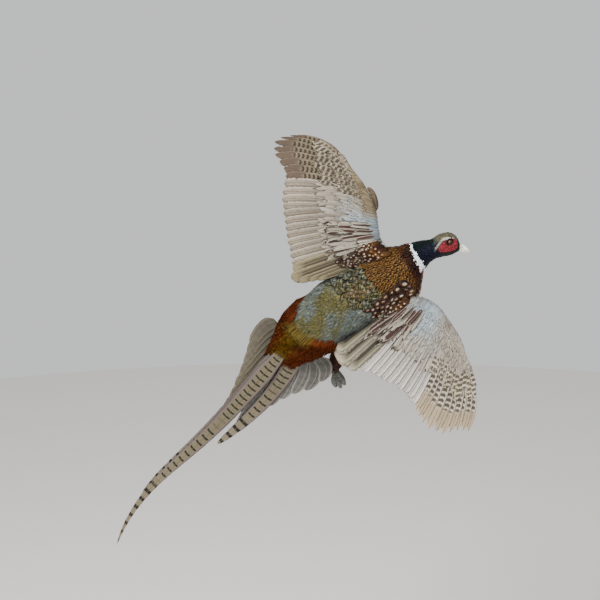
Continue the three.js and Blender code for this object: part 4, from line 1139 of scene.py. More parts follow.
def wing_place(wing, feather, first):
    """Where a flight feather's points go, how wide its place in the row is, and its length."""
    def course(t):
        chord = first + (1 - first) * t
        number = np.full_like(chord, feather)
        here, ahead = plan_point(wing, number, chord), plan_point(wing, number, chord + 0.004)
        return chord, number, here, unit(ahead - here)

    def place(t, x, height):
        _, _, here, run = course(t)
        outward = np.stack([run[:, 1], -run[:, 0]], -1)
        return wing_point(wing, here + outward * x[:, None], height)

    def spacing(t):
        chord, number, _, run = course(t)
        gap = plan_point(wing, number + 0.5, chord) - plan_point(wing, number - 0.5, chord)
        return np.abs(gap[:, 0] * run[:, 1] - gap[:, 1] * run[:, 0])

    ends = plan_point(wing, np.full(2, feather), np.array([first, 1.0]))
    return place, spacing, np.linalg.norm(ends[1] - ends[0])


def flight_materials():
    def secondary(name, ground, dark, edge):
        """Beige-grey with fine lengthwise lines, a dusky inner side and a pale outer edge."""
        return feather_material(name, ground=ground, marks=[
            (0.6, ("lines", 2.8, 0.14), dark),
            (0.35, ("mottle", 5.0, 0.5), dark),
            (0.75, ("streak", -0.66, -0.2, 0.0, 1.1), dark),
            (0.6, ("streak", 0.5, 1.2, 0.0, 1.1), edge),
            (0.8, ("shaft", 0.8), "#5c4f3e")], vary=0.22)

    def tertial(name, ground, dark, edge):
        """A long dusky centre and broad pale edges."""
        return feather_material(name, ground=ground, marks=[
            (0.9, ("streak", -0.85, 0.72, 0.0, 0.97), edge),
            (0.95, ("streak", -0.55, 0.45, 0.0, 0.9), dark),
            (0.4, ("lines", 2.6, 0.2), dark), (0.6, ("shaft", 0.7), ground)])

    def primary(name, ground, dark, tip, edge, end, period, share):
        """Dark chequers on cream, plain towards the end, with cream edges."""
        return feather_material(name, ground=ground, marks=[
            (0.95, ("bars", period, share, -0.5, 0.66, 0.0, end + 0.06, -0.35), dark),
            (0.3, ("lines", 2.4, 0.2), dark),
            (0.85, ("tip", end, end + 0.1), tip),
            (0.75, ("rim", 0.86, 0.96, 0.93), edge),
            (0.8, ("shaft", 0.8), "#5c4c38")])
    return [
        # cream with faint brown bars and a pale quill
        feather_material("vane_underside", ground="#c9c0ad", roughness=0.6, marks=[
            (0.5, ("bars", 11.5, 0.5, -0.9, 0.75, 0.05, 0.9, 0.2), "#8a7a60"),
            (0.8, ("shaft", 0.8), "#e5dcc6")]),
        tertial("left_tertial", "#978968", "#4c4434", "#7c7258"),
        secondary("left_secondary", "#a89b8a", "#6a5e4e", "#b5aa98"),
        primary("left_primary", "#8f8168", "#2c231a", "#54443a", "#857558", 0.72, 8.6, 0.52),
        tertial("right_tertial", "#b5ac94", "#38342a", "#6e6852"),
        secondary("right_secondary", "#d4cdc4", "#958b81", "#e6e0d7"),
        primary("right_primary", "#ddd3c0", "#45352a", "#a69070", "#e6ddcb", 0.66, 11.5, 0.6),
        tertial("left_alula_vane", "#66563f", "#4a3d2c", "#705f48"),
        secondary("right_alula_vane", "#a59d92", "#8f867a", "#aca498"),
    ]


# feather numbers of the right tertials, the two hidden ones close to shown ones
BROAD_TERTIALS = (0.3, 0.6, 2.1, 2.4, 3.9)
# share of the wing's chord at which the flight feathers start, under the coverts
FLIGHT_START = 0.2


def lay_flight_feathers(settings):
    rng = np.random.default_rng(settings.seed + 2)
    materials = flight_materials()
    for side, wing in WINGS.items():
        made = []
        for i in range(FEATHERS):
            sway, bend = rng.normal(0, 0.8), rng.normal(0, 1.0)
            number, close, power = i + 0.5, 0.09, 2.2
            # finish, and shares of the spacing that the outer and the inner side take
            finish, outer, inner = 1, 0.8, 1.15
            if i >= FIRST_SECONDARY:
                finish, outer, inner = 2, 0.62, 0.95
            if i >= FIRST_PRIMARY:
                # the innermost left primaries are as plain as the secondaries
                finish = 2 if side == "left" and i < FIRST_PRIMARY + 2 else 3
                outer, inner = 0.6, 1.0
                close = 0.1 + 0.24 * ramp(i, 17, 22) if side == "left" else 0.34
                power = 1.4 if i > 19 or side == "right" else 2.2
            if side == "right" and i < FIRST_SECONDARY:
                # the right tertials are three broad feathers over two hidden ones
                number, outer, inner = BROAD_TERTIALS[i], 1.5, 1.7
            place, spacing, length = wing_place(wing, number, FLIGHT_START)
            reach = 1 - abs(rng.normal(0, 0.018))

            def stray(t, x, height):
                """Feathers never lie quite true: each sways and bends a little, and ends a little short."""
                return place(t * reach, x + sway * t + bend * np.sin(np.pi * t), height)

            blade_parts = blade(FLIGHT_VANE, stray, length, lambda t: outer * spacing(t),
                                lambda t: inner * spacing(t), rng, close=close, power=power,
                                level=0.02 * (FEATHERS - i), slope=1.1, ridge=0.4,
                                fray=0.09 if i >= FIRST_PRIMARY else 0.06)
            made.append((*blade_parts, finish if side == "left" else finish + 3))
        nodes = ["wing_%s_%s" % (side, part) for part in ("tertials", "secondaries", "primaries")]
        blades_piece(side + "_flight_feathers", FLIGHT_VANE, made, materials, "flight_feathers", nodes)


# the alula: reach in feather numbers, stand forward of the wing, height, finish
ALULAE = {"left": (4.6, 9, -5.5, 7), "right": (5, -9, 3.4, 8)}


def lay_alulae(settings):
    rng = np.random.default_rng(settings.seed + 3)
    materials = flight_materials()
    for side, (reach, stand, lift, finish) in ALULAE.items():
        wing, made = WINGS[side], []

        def centre(t):
            plan = plan_point(wing, 14.5 + reach * t, np.zeros_like(t))
            return plan - np.stack([0 * t, stand * np.sin(np.pi * (0.1 + 0.75 * t))], -1)

        for k, (offset, size) in enumerate(((0.0, 1.0), (1.6, 0.82), (3.0, 0.62))):
            def place(t, x, height):
                here, ahead = centre(t * size), centre(t * size + 0.01)
                run = unit(ahead - here)
                across = np.stack([-run[:, 1], run[:, 0]], -1)
                return wing_point(wing, here + across * (x + offset)[:, None], height + lift)

            parts = blade(FLIGHT_VANE, place, 60 * size, lambda t: 4.8, lambda t: 5, rng, close=0.3,
                          level=0.5 * k)
            made.append((*parts, finish))
        blades_piece(side + "_alula_feathers", FLIGHT_VANE, made, materials, "flight_feathers",
                     ["wing_%s_alula" % side])


# ---- tail
def long_feather_place(length, headings, quill, layer):
    steps = np.linspace(0, 1, 181)
    heading = np.radians(along(headings, steps)[:, 0])
    course = np.stack([-np.cos(heading), 0 * heading, -np.sin(heading)], -1)
    moves = (course[1:] + course[:-1]) / 2 * length / 180
    centre = TAIL_ROOT + TAIL_SIDE * quill + np.concatenate([np.zeros((1, 3)), np.cumsum(moves, 0)])
    aside = np.stack([-np.sin(heading), 0 * heading, np.cos(heading)], -1)

    def place(t, x, height):
        point = np.stack([np.interp(t, steps, centre[:, k]) for k in range(3)], -1)
        point = point + np.stack([np.interp(t, steps, aside[:, k]) for k in range(3)], -1) * x[:, None]
        point[:, 1] = tail_depth(point, layer + height)
        return point
    return place


def fan_feather_place(side, layer, angle, length, quill, bulge):
    start = TAIL_ROOT + TAIL_SIDE * side * quill
    aim = np.radians(angle)
    end = TAIL_ROOT + np.array([-np.cos(aim), 0, -np.sin(aim)]) * length
    run = end - start
    outward = unit(np.array([-run[2], 0, run[0]])) * side

    def place(t, x, height):
        point = start + run * t[:, None] + outward * (4 * bulge * t * (1 - t) + x)[:, None]
        point[:, 1] = tail_depth(point, layer + height)
        return point
    return place, np.linalg.norm(run)


def tail_materials():
    mauve, black = "#7c6e69", "#120e0b"

    def middle(name, ground, period):
        """Olive-buff with black bars right across and a mauve hair-like fringe."""
        return feather_material(name, ground=ground, marks=[
            (0.45, ("mottle", 2.2, 0.48), "#5c5238"),
            (0.6, ("lines", 2.6, 0.2), "#85795a"),
            (0.9, ("streak", -1.4, -0.6, 0.0, 1.1), mauve),
            (0.9, ("streak", 0.6, 1.4, 0.0, 1.1), mauve),
            (0.4, ("lines", 2.2, 0.1), "#5c524a"),
            # the bars stand further apart along the feather and end as blots across it
            (1, ("bars", period, 0.27, -0.7, 0.68, 0.0, 0.4, 0.14), black),
            (1, ("bars", period * 1.3, 0.25, -0.72, 0.7, 0.4, 0.72, 0.14), black),
            (1, ("bars", period * 1.6, 0.36, -1.2, 1.2, 0.7, 1.1, 0.1), black),
            (0.6, ("shaft", 0.9), "#6a5e46")], roughness=0.55)

    def outer(name, ground, bar, edge, strength):
        """Soft grey vane with faint broken bars and a paler edge."""
        return feather_material(name, ground=ground, marks=[
            (0.4, ("lines", 2.4, 0.2), bar),
            (strength, ("bars", 15.0, 0.35, -0.7, 0.7, 0.1, 0.95, 0.3), bar),
            (0.75, ("streak", 0.6, 1.4, 0.0, 1.1), edge),
            (0.6, ("streak", -1.4, -0.7, 0.0, 1.1), edge), (0.7, ("shaft", 0.8), edge)], roughness=0.6)
    return [
        # pale buff with faint bars and a pale quill
        feather_material("rectrix_underside", ground="#a89a82", roughness=0.6, marks=[
            (0.7, ("bars", 21.0, 0.35, -0.7, 0.7, 0.0, 0.95, 0.2), "#6b5a48"),
            (0.8, ("shaft", 1.2), "#d8cdb4")]),
        middle("middle_rectrix", "#7f7456", 13.5),
        outer("right_rectrix", "#68645e", "#38352f", "#99958d", 0.3),
        outer("left_rectrix", "#5b5444", "#342e23", "#726855", 0.2),
        middle("second_rectrix", "#7c7158", 13.0),
    ]


# half width of the first fan feather's inner side
FAN_INNER = {"right": 17, "left": 14}


def lay_tail(settings):
    rng = np.random.default_rng(settings.seed + 4)
    materials = tail_materials()
    for name, (length, headings, quill, width, taper, layer) in LONG_FEATHERS.items():
        def half(t):
            return 1.18 * width * np.minimum(0.5 + 3 * t, 1) * (1 - t) ** taper + 0.7

        place = long_feather_place(length, headings, quill, layer)
        parts = blade(TAIL_VANE, place, length, half, half, rng, close=0.03, base=0.5, slope=-0.6, ridge=1.2,
                      fray=0.05)
        made = [(*parts, 4 if name == "tail_second_right" else 1)]
        blades_piece(name + "_vane", TAIL_VANE, made, materials, "tail_feathers", [name])
    for side, (sign, layer, feathers) in TAIL_FANS.items():
        made = []
        for k, (angle, length, quill, bulge) in enumerate(feathers):
            place, reach = fan_feather_place(sign, layer, angle, length, quill, bulge)
            # positive sideways is away from the middle of the tail on either side
            out, into = (lambda t, w=w + 0.5 * k: w * (1 - 0.35 * t) for w in (13, FAN_INNER[side]))
            made.append((*blade(TAIL_VANE, place, reach, out, into, rng, close=0.2, slope=-0.5,
                                level=-0.25 * k, ridge=0.8, fray=0.04), 2 if side == "right" else 3))
        blades_piece("tail_fan_%s_vanes" % side, TAIL_VANE, made, materials, "tail_feathers",
                     ["tail_fan_" + side])


# ---- skin
def values_of(items, name, width=1, kind=float):
    """One property of all the items of a mesh."""
    values = np.empty(len(items) * width, kind)
    items.foreach_get(name, values)
    return values.reshape(-1, width) if width > 1 else values


def fused(body, cell):
    """Overlapping bodies as one even shell, made of cells of the given size in metres."""
    points, sizes, corners = body
    rough = bpy.data.meshes.new("rough_skin")
    faces = np.split(corners, np.cumsum(sizes)[:-1])
    rough.from_pydata((points * MM).tolist(), [], [face.tolist() for face in faces])
    holder = bpy.data.objects.new("rough_skin", rough)
    bpy.context.scene.collection.objects.link(holder)
    remesh = holder.modifiers.new("Fuse", "REMESH")
    remesh.mode, remesh.voxel_size = "VOXEL", cell
    smooth = holder.modifiers.new("Even", "SMOOTH")
    smooth.iterations = 4
    shell = bpy.data.meshes.new_from_object(holder.evaluated_get(bpy.context.evaluated_depsgraph_get()))
    bpy.data.objects.remove(holder)
    points = values_of(shell.vertices, "co", 3) / MM
    sizes = values_of(shell.polygons, "loop_total", kind=np.int32)
    corners = values_of(shell.loops, "vertex_index", kind=np.int32)
    bpy.data.meshes.remove(shell)
    return points, sizes, corners


# points across the upper and the lower side of a wing's skin
WING_SIDE = 14


def lay_skin(settings):
    """One continuous skin under the whole coat, by fusing the body, both arms and both thighs."""
    station, angle = grid(np.linspace(0, LAST_STATION, 113), circle(64))
    parts = [closed_tube(body_point(station, angle, -coat_depth(station)))]
    for side in WINGS:
        chords = np.concatenate([np.linspace(0.01, 0.38, WING_SIDE), np.linspace(0.38, 0.01, WING_SIDE)])
        f, c = grid(np.linspace(0, 24.3, 60), chords)
        top, low = (TRACTS[side + face].surface(c, f, -arm_depth(c, f)) for face in ("_over", "_under"))
        rings = np.concatenate([top[:, :WING_SIDE], low[:, WING_SIDE:]], 1)
        parts.append(closed_tube(rings if side == "left" else rings[:, ::-1]))
    for side in LEGS:
        tract = TRACTS[side + "_thigh"]
        u, v = grid(np.linspace(0, 1, 14), circle(28))
        parts.append(closed_tube(tract.surface(u, v, -tract.depth(u, v))))
    points, sizes, corners = fused(joined(parts), settings.voxel)
    places, colours = skin_places(points, np.random.default_rng(settings.seed))
    # the skin takes the colour of the feathers over it, darkened as painted shade under the coat
    material = surface_material("feathered_skin", "Ground", 0.75, spread=0.2, relief=0.5, relief_mm=2.5)
    nodes = ["head", "neck", "trunk", "rump", "thigh_right", "thigh_left", "wing_left_arm",
             "wing_left_hand", "wing_right_arm", "wing_right_hand"]
    piece = new_piece("skin", points, sizes, corners, [material], "back_plumage", replaces=nodes,
                      attributes={"Ground": colours}, bake=places)
    layer = piece.data.uv_layers["OFBake"].data
    flat = values_of(layer, "uv", 2)
    # a face across a seam of the unwrap keeps to one side of it
    first = np.repeat(np.cumsum(sizes) - sizes, sizes)
    torn = np.abs(flat - flat[first]).max(1) > 0.05
    flat[torn] = flat[first[torn]]
    layer.foreach_set("uv", flat.ravel())


# colours of the skin that is not on the body, by the end of the tract's name
SKIN_COLOURS = {"over": ("#7d868e", "#8d969c"), "under": ("#b8ad98", "#c4baa4"),
                "thigh": ("#4a3222", "#3a281c")}


def skin_places(points, rng):
    """Each point's place on the unwrap and its colour, from the nearest spot of the tracts."""
    spots, across, down, places, colours = [], [], [], [], []
    for name, tract in TRACTS.items():
        u, v = grid(np.linspace(*tract.u_span, 57), np.linspace(*tract.v_span, 97)[:-1])
        part = name.split("_")[-1]
        if part in ("over", "under"):
            u = np.clip(u, 0, 1) * 0.42
        u, v = u.ravel(), v.ravel()
        for held, values in zip((spots, across, down), slopes(tract.surface, u, v, -tract.depth(u, v))):
            held.append(values)
        places.append((np.full(len(u), len(places)), u, v))
        if name == "body":
            colour = np.zeros((len(u), 4))
            zones = body_zone(u, v)
            for zone, painter in PAINTERS.items():
                chosen = zones == zone
                colour[chosen] = painter(u[chosen], np.degrees(v[chosen]), rng)["Ground"]
            colour[zones == "bare"] = linear("#8c1f2c")
        else:
            colour = shades(rng, len(u), *SKIN_COLOURS[part])
        # painted shade: the skin under the coat is darker than the feathers over it
        colours.append(colour * (0.6, 0.6, 0.6, 1))
    spots, across, down, colours = (np.concatenate(part) for part in (spots, across, down, colours))
    which, u, v = (np.concatenate(part) for part in zip(*places))
    tree = KDTree(len(spots))
    for k, spot in enumerate(spots):
        tree.insert(spot, k)
    tree.balance()
    near = np.array([tree.find(point)[1] for point in points])
    offset = points - spots[near]
    u = u[near] + dot(offset, across[near]) / np.maximum(dot(across[near], across[near]), 1e-6)
    v = v[near] + dot(offset, down[near]) / np.maximum(dot(down[near], down[near]), 1e-6)
    result = np.zeros((len(points), 2))
    for k, tract in enumerate(TRACTS.values()):
        mine = which[near] == k
        result[mine] = tract.place(u[mine], v[mine])
    return result, colours[near]


# ---- face
SIDES = {"left": 1, "right": -1}


def on_head(ahead, high, side, height):
    """A point over the side of the head, from millimetres ahead of the eye and above the middle line."""
    station = EYE_STATION + ahead / HEAD_STEP
    tall = body_frame(station)[4][..., 1]
    return body_point(station, side * np.arccos(np.clip(high / tall, -0.999, 0.999)), height)


def eye_spot(side):
    """Centre of an eye, its outward axis and the direction ahead of it."""
    surface, du, dv = (part[0] for part in
                       slopes(body_point, np.array([EYE_STATION]), np.array([side * EYE_ANGLE]), 0.0))
    outward = surface - body_frame(EYE_STATION)[0]
    out = unit(np.cross(du, dv))
    return surface - unit(outward) * EYE_SUNK, out * np.sign(dot(out, outward)), unit(du)


def make_eyes(settings):
    pupil = settings.pupil / MM
    # radius in millimetres and colour of the rings of the iris
    iris = [(0.0, "#050404"), (pupil * 0.98, "#050404"), (pupil * 1.06, "#3a1c0c"), (3.1, "#4a2a14"),
            (3.8, "#5a361c"), (4.3, "#2a140c"), (4.6, "#0c0806"), (9, "#0c0806")]
    radii, codes = zip(*iris)
    # a glass eye: clear coat over a painted amber iris
    material, tree = new_material("glass_eye")
    finish_material(tree, {"Base Color": colour_of(tree, "Ground"), "Roughness": 0.15, "Coat Weight": 0.4,
                           "Coat Roughness": 0.03, "Specular IOR Level": 0.3})
    for side, sign in SIDES.items():
        centre, out, ahead = eye_spot(sign)
        up = np.cross(out, ahead)
        lat, turn = grid(np.linspace(0.004, np.pi - 0.004, 56), circle(56))
        radius = EYE_RADIUS - 0.35 + 0.35 * np.exp(-(lat / 0.5) ** 2)
        round_it = np.cos(turn)[..., None] * ahead + np.sin(turn)[..., None] * up
        ball = (np.cos(lat)[..., None] * out + np.sin(lat)[..., None] * round_it) * radius[..., None]
        reach = np.where(lat > np.pi / 2, 9, np.sin(lat) * EYE_RADIUS).ravel()
        colours = np.stack([np.interp(reach, radii, values) for values in palette(*codes).T], -1)
        new_piece("eyeball_" + side, *closed_tube(centre + ball), [material], "eye_glass",
                  replaces=["eye_" + side], attributes={"Ground": colours})


def make_wattles(settings):
    rng = np.random.default_rng(settings.seed)
    # bare skin of the face: scarlet, dry and warty
    material = surface_material("wattle_skin", "Ground", 0.5, spread=0.16, spread_mm=3.0, relief=0.5,
                                relief_mm=0.9, warty=True, sockets={"Specular IOR Level": 0.22})
    rings, sides = 64, 150
    turn = circle(sides)
    aim = np.stack([np.cos(turn), np.sin(turn)], -1)
    eye = np.array([0.0, EYE_HIGH])
    # distance from the eye to the ellipse's edge in each direction
    start, step = (eye - WATTLE_CENTRE) / WATTLE_HALF, aim / WATTLE_HALF
    a, b, c = dot(step, step), dot(step, start), dot(start, start) - 1
    edge = (-b + np.sqrt(b * b - a * c)) / a
    edge = edge * (1 + 0.03 * np.sin(3 * turn + 1) + 0.02 * np.sin(7 * turn))
    opening = settings.lid_opening / MM / 2 * np.linalg.norm(aim * (1.06, 0.9), axis=-1)
    share = np.linspace(0, 1, rings)[:, None]
    reach = opening + (edge - opening) * share
    place = eye + reach[..., None] * aim
    rim = np.minimum(1, (edge - reach) / 2.2)
    swell = 1.3 * np.sqrt(np.clip(1 - (1 - rim) ** 2, 0, 1))
    past_lid = reach - opening
    lid = 0.9 * np.exp(-((past_lid - 0.9) / 0.75) ** 2) - 1.2 * np.exp(-(past_lid / 0.35) ** 2)
    fold = -0.7 * np.exp(-((past_lid - 2.3) / 0.5) ** 2)
    red, (wart_red, fold_shade, lid_edge_shade) = np.array(settings.wattle), palette("#861524", "#22060a", "#0e0505")
    for side, sign in SIDES.items():
        warts = np.zeros_like(reach)
        seeds = rng.uniform(-1, 1, (300, 2)) * (22, 14) + WATTLE_CENTRE
        for seed, size in zip(seeds, rng.uniform(0.6, 1.5, len(seeds))):
            near = dot(place - seed, place - seed)
            warts = np.maximum(warts, 0.9 * size * np.exp(-near / (size * 0.75) ** 2))
        warts = warts * ramp(past_lid, 1.4, 3) * rim
        height = 0.2 + swell + lid + fold + warts - 2.4 * share ** 40
        top = on_head(place[..., 0], place[..., 1], sign, height)
        # the lid's inner edge turns down over the eyeball, the outer edge tucks under the feathers
        base = on_head(place[..., 0], place[..., 1], sign, np.minimum(height, 0) - 2.2)
        shell = np.concatenate([top, base[::-1]])
        count = len(shell)
        r, k = grid(np.arange(count), np.arange(sides))
        after, beside = (r + 1) % count, (k + 1) % sides
        corners = np.stack([r * sides + k, r * sides + beside, after * sides + beside, after * sides + k], -1)
        if sign < 0:
            corners = corners[..., [0, 3, 2, 1]]
        colour = paint(red, wart_red, warts * 1.1)
        # painted shade: the groove behind the lid, and the lid's inner edge where it turns down over the
        # eyeball, are darkened
        colour = paint(colour, fold_shade, np.exp(-((past_lid - 2.2) / 1.0) ** 2))
        colour = paint(colour, lid_edge_shade, np.exp(-(past_lid / 0.9) ** 2) * 1.1)
        colours = np.concatenate([colour, colour[::-1]]).reshape(-1, 4)
        new_piece("face_wattle_" + side, shell.reshape(-1, 3), np.full(count * sides, 4), corners.ravel(),
                  [material], "red_skin", replaces=["wattle_" + side], attributes={"Ground": colours})


BILL_LENGTH, BILL_HALF_WIDTH, BILL_UPPER, BILL_LOWER, BILL_HOOK = 22.6, 6.4, 8.8, 6.4, 5.0


def make_bill(settings):
    # ivory horn, polished by use, with faint lengthwise streaks
    polish = {"Coat Weight": 0.25, "Coat Roughness": 0.2, "Subsurface Weight": 0.05}
    material = surface_material("bill_horn", "Ground", 0.32, spread=0.1, spread_mm=6.0, relief=0.15,
                                relief_mm=1.2, stretch=(0.3, 1, 1), sockets=polish)
    (pale, dark), ivory = palette("#a09b84", "#433a30"), np.array(settings.horn)
    centre, forward, up, left, _ = (part[0] for part in body_frame(np.array([LAST_STATION])))
    t, turn = grid(np.linspace(0, 1, 60) ** 0.9, circle(60))
    bow = np.sin(turn)
    taper = np.sqrt(np.maximum(1 - t ** 2.0, 0.012))
    droop = -BILL_HOOK * t ** 2.2
    for name, length, tall, sign in (("bill_upper", BILL_LENGTH, BILL_UPPER, 1),
                                     ("bill_lower", BILL_LENGTH - 4, BILL_LOWER, -1)):
        wide = np.cos(turn) * BILL_HALF_WIDTH * taper * (1 - 0.12 * t)
        high = sign * np.where(bow > 0, bow * tall, bow * 0.8) * taper
        slit = np.zeros_like(t)
        # the flap over each nostril, and the slit beneath it
        for mirror in (1, -1) if sign > 0 else ():
            about = np.arctan2(high / tall, mirror * wide / BILL_HALF_WIDTH)
            flap = np.exp(-((t - 0.2) / 0.13) ** 2 - ((about - 0.75) / 0.3) ** 2)
            slit = np.exp(-((t - 0.24) / 0.1) ** 2 - ((about - 0.42) / 0.1) ** 2)
            wide = wide + mirror * (0.8 * flap - 0.7 * slit)
        middle = centre + forward * (0.3 + t * length)[..., None] + up * (droop + 0.15 * sign - 1)[..., None]
        rings = middle + left * wide[..., None] + up * high[..., None]
        edge = np.exp(-(bow / 0.12) ** 2) * 0.35
        colour = paint(paint(pale, ivory, ramp(t, 0.0, 0.4)), dark, slit * 1.2 + edge)
        new_piece(name + "_horn", *closed_tube(rings), [material], "horn", replaces=[name],
                  attributes={"Ground": colour.reshape(-1, 4)})


# ---- legs
def make_legs():
    # dry grey scales with pale edges
    scales = surface_material("leg_scales", "#3d3e3b", 0.6, spread=0.25, spread_mm=5.0, relief=0.8,
                              relief_mm=2.6, warty=True, grain="#585850")
    # worn brown horn
    claw = surface_material("claw_horn", "#38302a", 0.35, spread=0.15, relief=0.1)
    for side, leg in LEGS.items():
        hock, ankle, tip, spread, curl = (np.array(leg[key], float) for key in
                                          ("hock", "ankle", "toe_tip", "spread", "curl"))
        shank = ankle - hock
        thorn = unit(np.cross((0, 1, 0), shank))
        root = hock + shank * 0.62
        parts = [swept([hock - shank * 0.12, hock, hock + shank * 0.5, ankle], [6.5, 6.0, 4.1, 4.9], sides=24,
                       steps=90, wave=0.05, waves=16),
                 swept([root + thorn * 2, root + thorn * 9, root + thorn * 15 - shank * 0.06], [3, 2, 0.4],
                       steps=16)]
        new_piece("shank_" + side, *joined(parts), [scales], "leg_scales", replaces=["tarsus_" + side])
        toes, claws = [], []
        for across, reach in ((-1, 0.88), (0, 1), (1, 0.88)):
            end = ankle + (tip - ankle) * reach + spread * across
            knuckle = ankle + (end - ankle) * 0.55 + spread * 0.4 * across - curl * 0.5
            point = end + curl * 0.55
            point = point + (ankle - point) * 0.1
            toes.append(swept([ankle, knuckle, end], [6.0, 5.8, 3.6], sides=20, steps=64, wave=0.12, waves=9))
            claws.append(swept([end - (end - knuckle) * 0.06, end * 0.45 + point * 0.55 - curl * 0.1, point],
                               [2.2, 1.6, 0.35], steps=18))
        hind = ankle + curl * 1.1
        hind = hind + (tip - hind) * 0.45
        toes.append(swept([ankle, ankle + curl * 0.7, hind], [4.2, 3.2, 1.9], sides=18, steps=40, wave=0.14,
                          waves=5))
        finish = np.repeat((0, 1), [sum(len(part[1]) for part in parts) for parts in (toes, claws)])
        new_piece("toes_" + side, *joined(toes + claws), [scales, claw], "leg_scales",
                  replaces=["foot_" + side], face_materials=finish)


# ---- stand
def lathe(profile, start, sides=96):
    """A turned body round an axis that runs out from the wall, from (radius, distance along it) pairs."""
    axis = np.array((0.0, -1.0, 0.0))
    one = unit(np.cross(axis, (0.3, 0.2, 0.93)))
    two = np.cross(axis, one)
    turn = circle(sides)
    ring = np.cos(turn)[:, None] * one + np.sin(turn)[:, None] * two
    rows = [np.array(start) + axis * reach + ring * max(radius, 0.01) for radius, reach in profile]
    return closed_tube(np.array(rows))


def make_stand(settings):
    # beech, turned and waxed: growth lines run along the grain
    wood = surface_material("turned_beech", settings.wood, 0.4, spread=0.14, spread_mm=9.0,
                            stretch=(0.12, 1, 1), relief=0.2, relief_mm=1.5, grain="#6b4022",
                            sockets={"Coat Weight": 0.3, "Coat Roughness": 0.25})
    # grey metal with a soft brushed shine
    steel = surface_material("brushed_steel", settings.steel, 0.35, spread=0.05, relief=0.1, relief_mm=0.6,
                             sockets={"Metallic": 1.0})
    edge, bevel = settings.rosette / MM, 0.6
    turns = np.linspace(0, np.pi / 2, 12)
    hollow = [(edge - 2.6 - 5.4 * np.sin(turn), 8.4 + 5.4 * (1 - np.cos(turn))) for turn in turns]
    profile = [(0, 0), (edge - bevel, 0), (edge, bevel), (edge, 6 - bevel), (edge - bevel, 6), *hollow,
               (edge - 8.8, 14), (0, 14)]
    new_piece("rosette", *lathe(profile, (0, 0, 0)), [wood], "turned_wood", replaces=["stand_wall_rosette"])
    rod = [(0, 0), (14.6, 0), (15, 0.4), (15, 2.4), (14.4, 3), (6.6, 3), (5, 5.2), (5, 80), (4.2, 81),
           (0, 81)]
    screw = [(0, 0), (2.2, 0), (2.2, 0.5), (1.6, 1.1), (0.5, 1.3), (0.4, 0.8), (0, 0.8)]
    spots = [(10.2 * np.cos(turn), -16.8, 10.2 * np.sin(turn)) for turn in np.radians((90, 210, 330))]
    parts = [lathe(rod, (0, -14.05, 0), sides=48), *(lathe(screw, spot, sides=20) for spot in spots)]
    new_piece("wall_rod", *joined(parts), [steel], "rod_steel", replaces=["stand_rod"])


# ---- stage
def look(away):
    """Rotation that points an object's -Z against a direction."""
    back = unit(np.asarray(away, float))
    right = unit(np.cross((0, 0, 1), back))
    return Matrix(np.stack([right, np.cross(back, right), back], -1).tolist())


# rows for x, y and z: the camera's right, up and back axes, and its place in metres
CAMERA = ((0.99417, -0.00608, 0.10764, 0.0850), (0.10733, 0.1501, -0.98283, -1.8937),
          (-0.01018, 0.98865, 0.14988, 0.2571), (0, 0, 0, 1))
# lights: name, place, aim, size, share of the key's power
LIGHTS = (("key", (-1.1, -2.0, 1.9), (0, -0.15, 0), 1.1, 1.0),
          ("fill", (1.9, -1.7, 0.5), (0, -0.15, 0), 1.6, 0.2),
          ("low", (-0.4, -1.9, -0.9), (0, -0.15, -0.1), 1.5, 0.1))


def set_stage(settings):
    scene = bpy.context.scene
    turn = circle(96)
    ring = np.stack([6 * np.cos(turn), 6 * np.sin(turn) - 1, np.full(len(turn), settings.floor_height)], -1)
    mesh = bpy.data.meshes.new("floor")
    mesh.from_pydata(ring.tolist(), [], [list(range(len(turn)))])
    # a pale matt floor, almost even
    mesh.materials.append(surface_material("pale_floor", settings.floor, 0.8, spread=0.01, relief=0.02,
                                           relief_mm=40))
    floor = bpy.data.objects.new("floor", mesh)
    scene.collection.objects.link(floor)

    world = bpy.data.worlds.new("studio")
    scene.world = world
    world.use_nodes = True
    background = world.node_tree.nodes["Background"]
    background.inputs["Color"].default_value = linear("#e6e7e9")
    background.inputs["Strength"].default_value = 0.95

    for name, place, aim, size, share in LIGHTS:
        light = bpy.data.lights.new(name, "AREA")
        light.size, light.energy = size, settings.key_power * share
        lamp = bpy.data.objects.new(name, light)
        lamp.location = place
        lamp.rotation_euler = look(np.array(place) - aim).to_euler()
        scene.collection.objects.link(lamp)

    camera = bpy.data.cameras.new("camera")
    camera.lens, camera.sensor_width = settings.lens, 36
    view = bpy.data.objects.new("camera", camera)
    view.matrix_world = Matrix(CAMERA)
    scene.collection.objects.link(view)
    scene.camera = view


# ---- add-on
class PheasantCoatSettings(bpy.types.PropertyGroup):
    seed: bpy.props.IntProperty(name="Seed", description="Start of the feathers' random spread", default=7)
    density: bpy.props.FloatProperty(name="Density", description="Closeness of the body feathers",
                                     default=1.0, min=0.3, max=2.0, subtype="FACTOR")
    voxel: bpy.props.FloatProperty(name="Skin grain", description="Size of the cells the skin is fused from",
                                   default=0.002, unit="LENGTH")


class PheasantFaceSettings(bpy.types.PropertyGroup):
    seed: bpy.props.IntProperty(name="Seed", description="Start of the warts' random spread", default=3)
    pupil: bpy.props.FloatProperty(name="Pupil radius", description="Radius of the eye's pupil",
                                   default=0.0025, unit="LENGTH")
    lid_opening: bpy.props.FloatProperty(name="Lid opening", description="Width between the lids",
                                         default=0.0092, unit="LENGTH")
    wattle: bpy.props.FloatVectorProperty(name="Wattle", description="Colour of the bare face", size=4,
                                          default=linear("#4a080f"), min=0.0, max=1.0, subtype="COLOR")
    horn: bpy.props.FloatVectorProperty(name="Horn", description="Colour of the bill", size=4,
                                        default=linear("#d2cfbd"), min=0.0, max=1.0, subtype="COLOR")


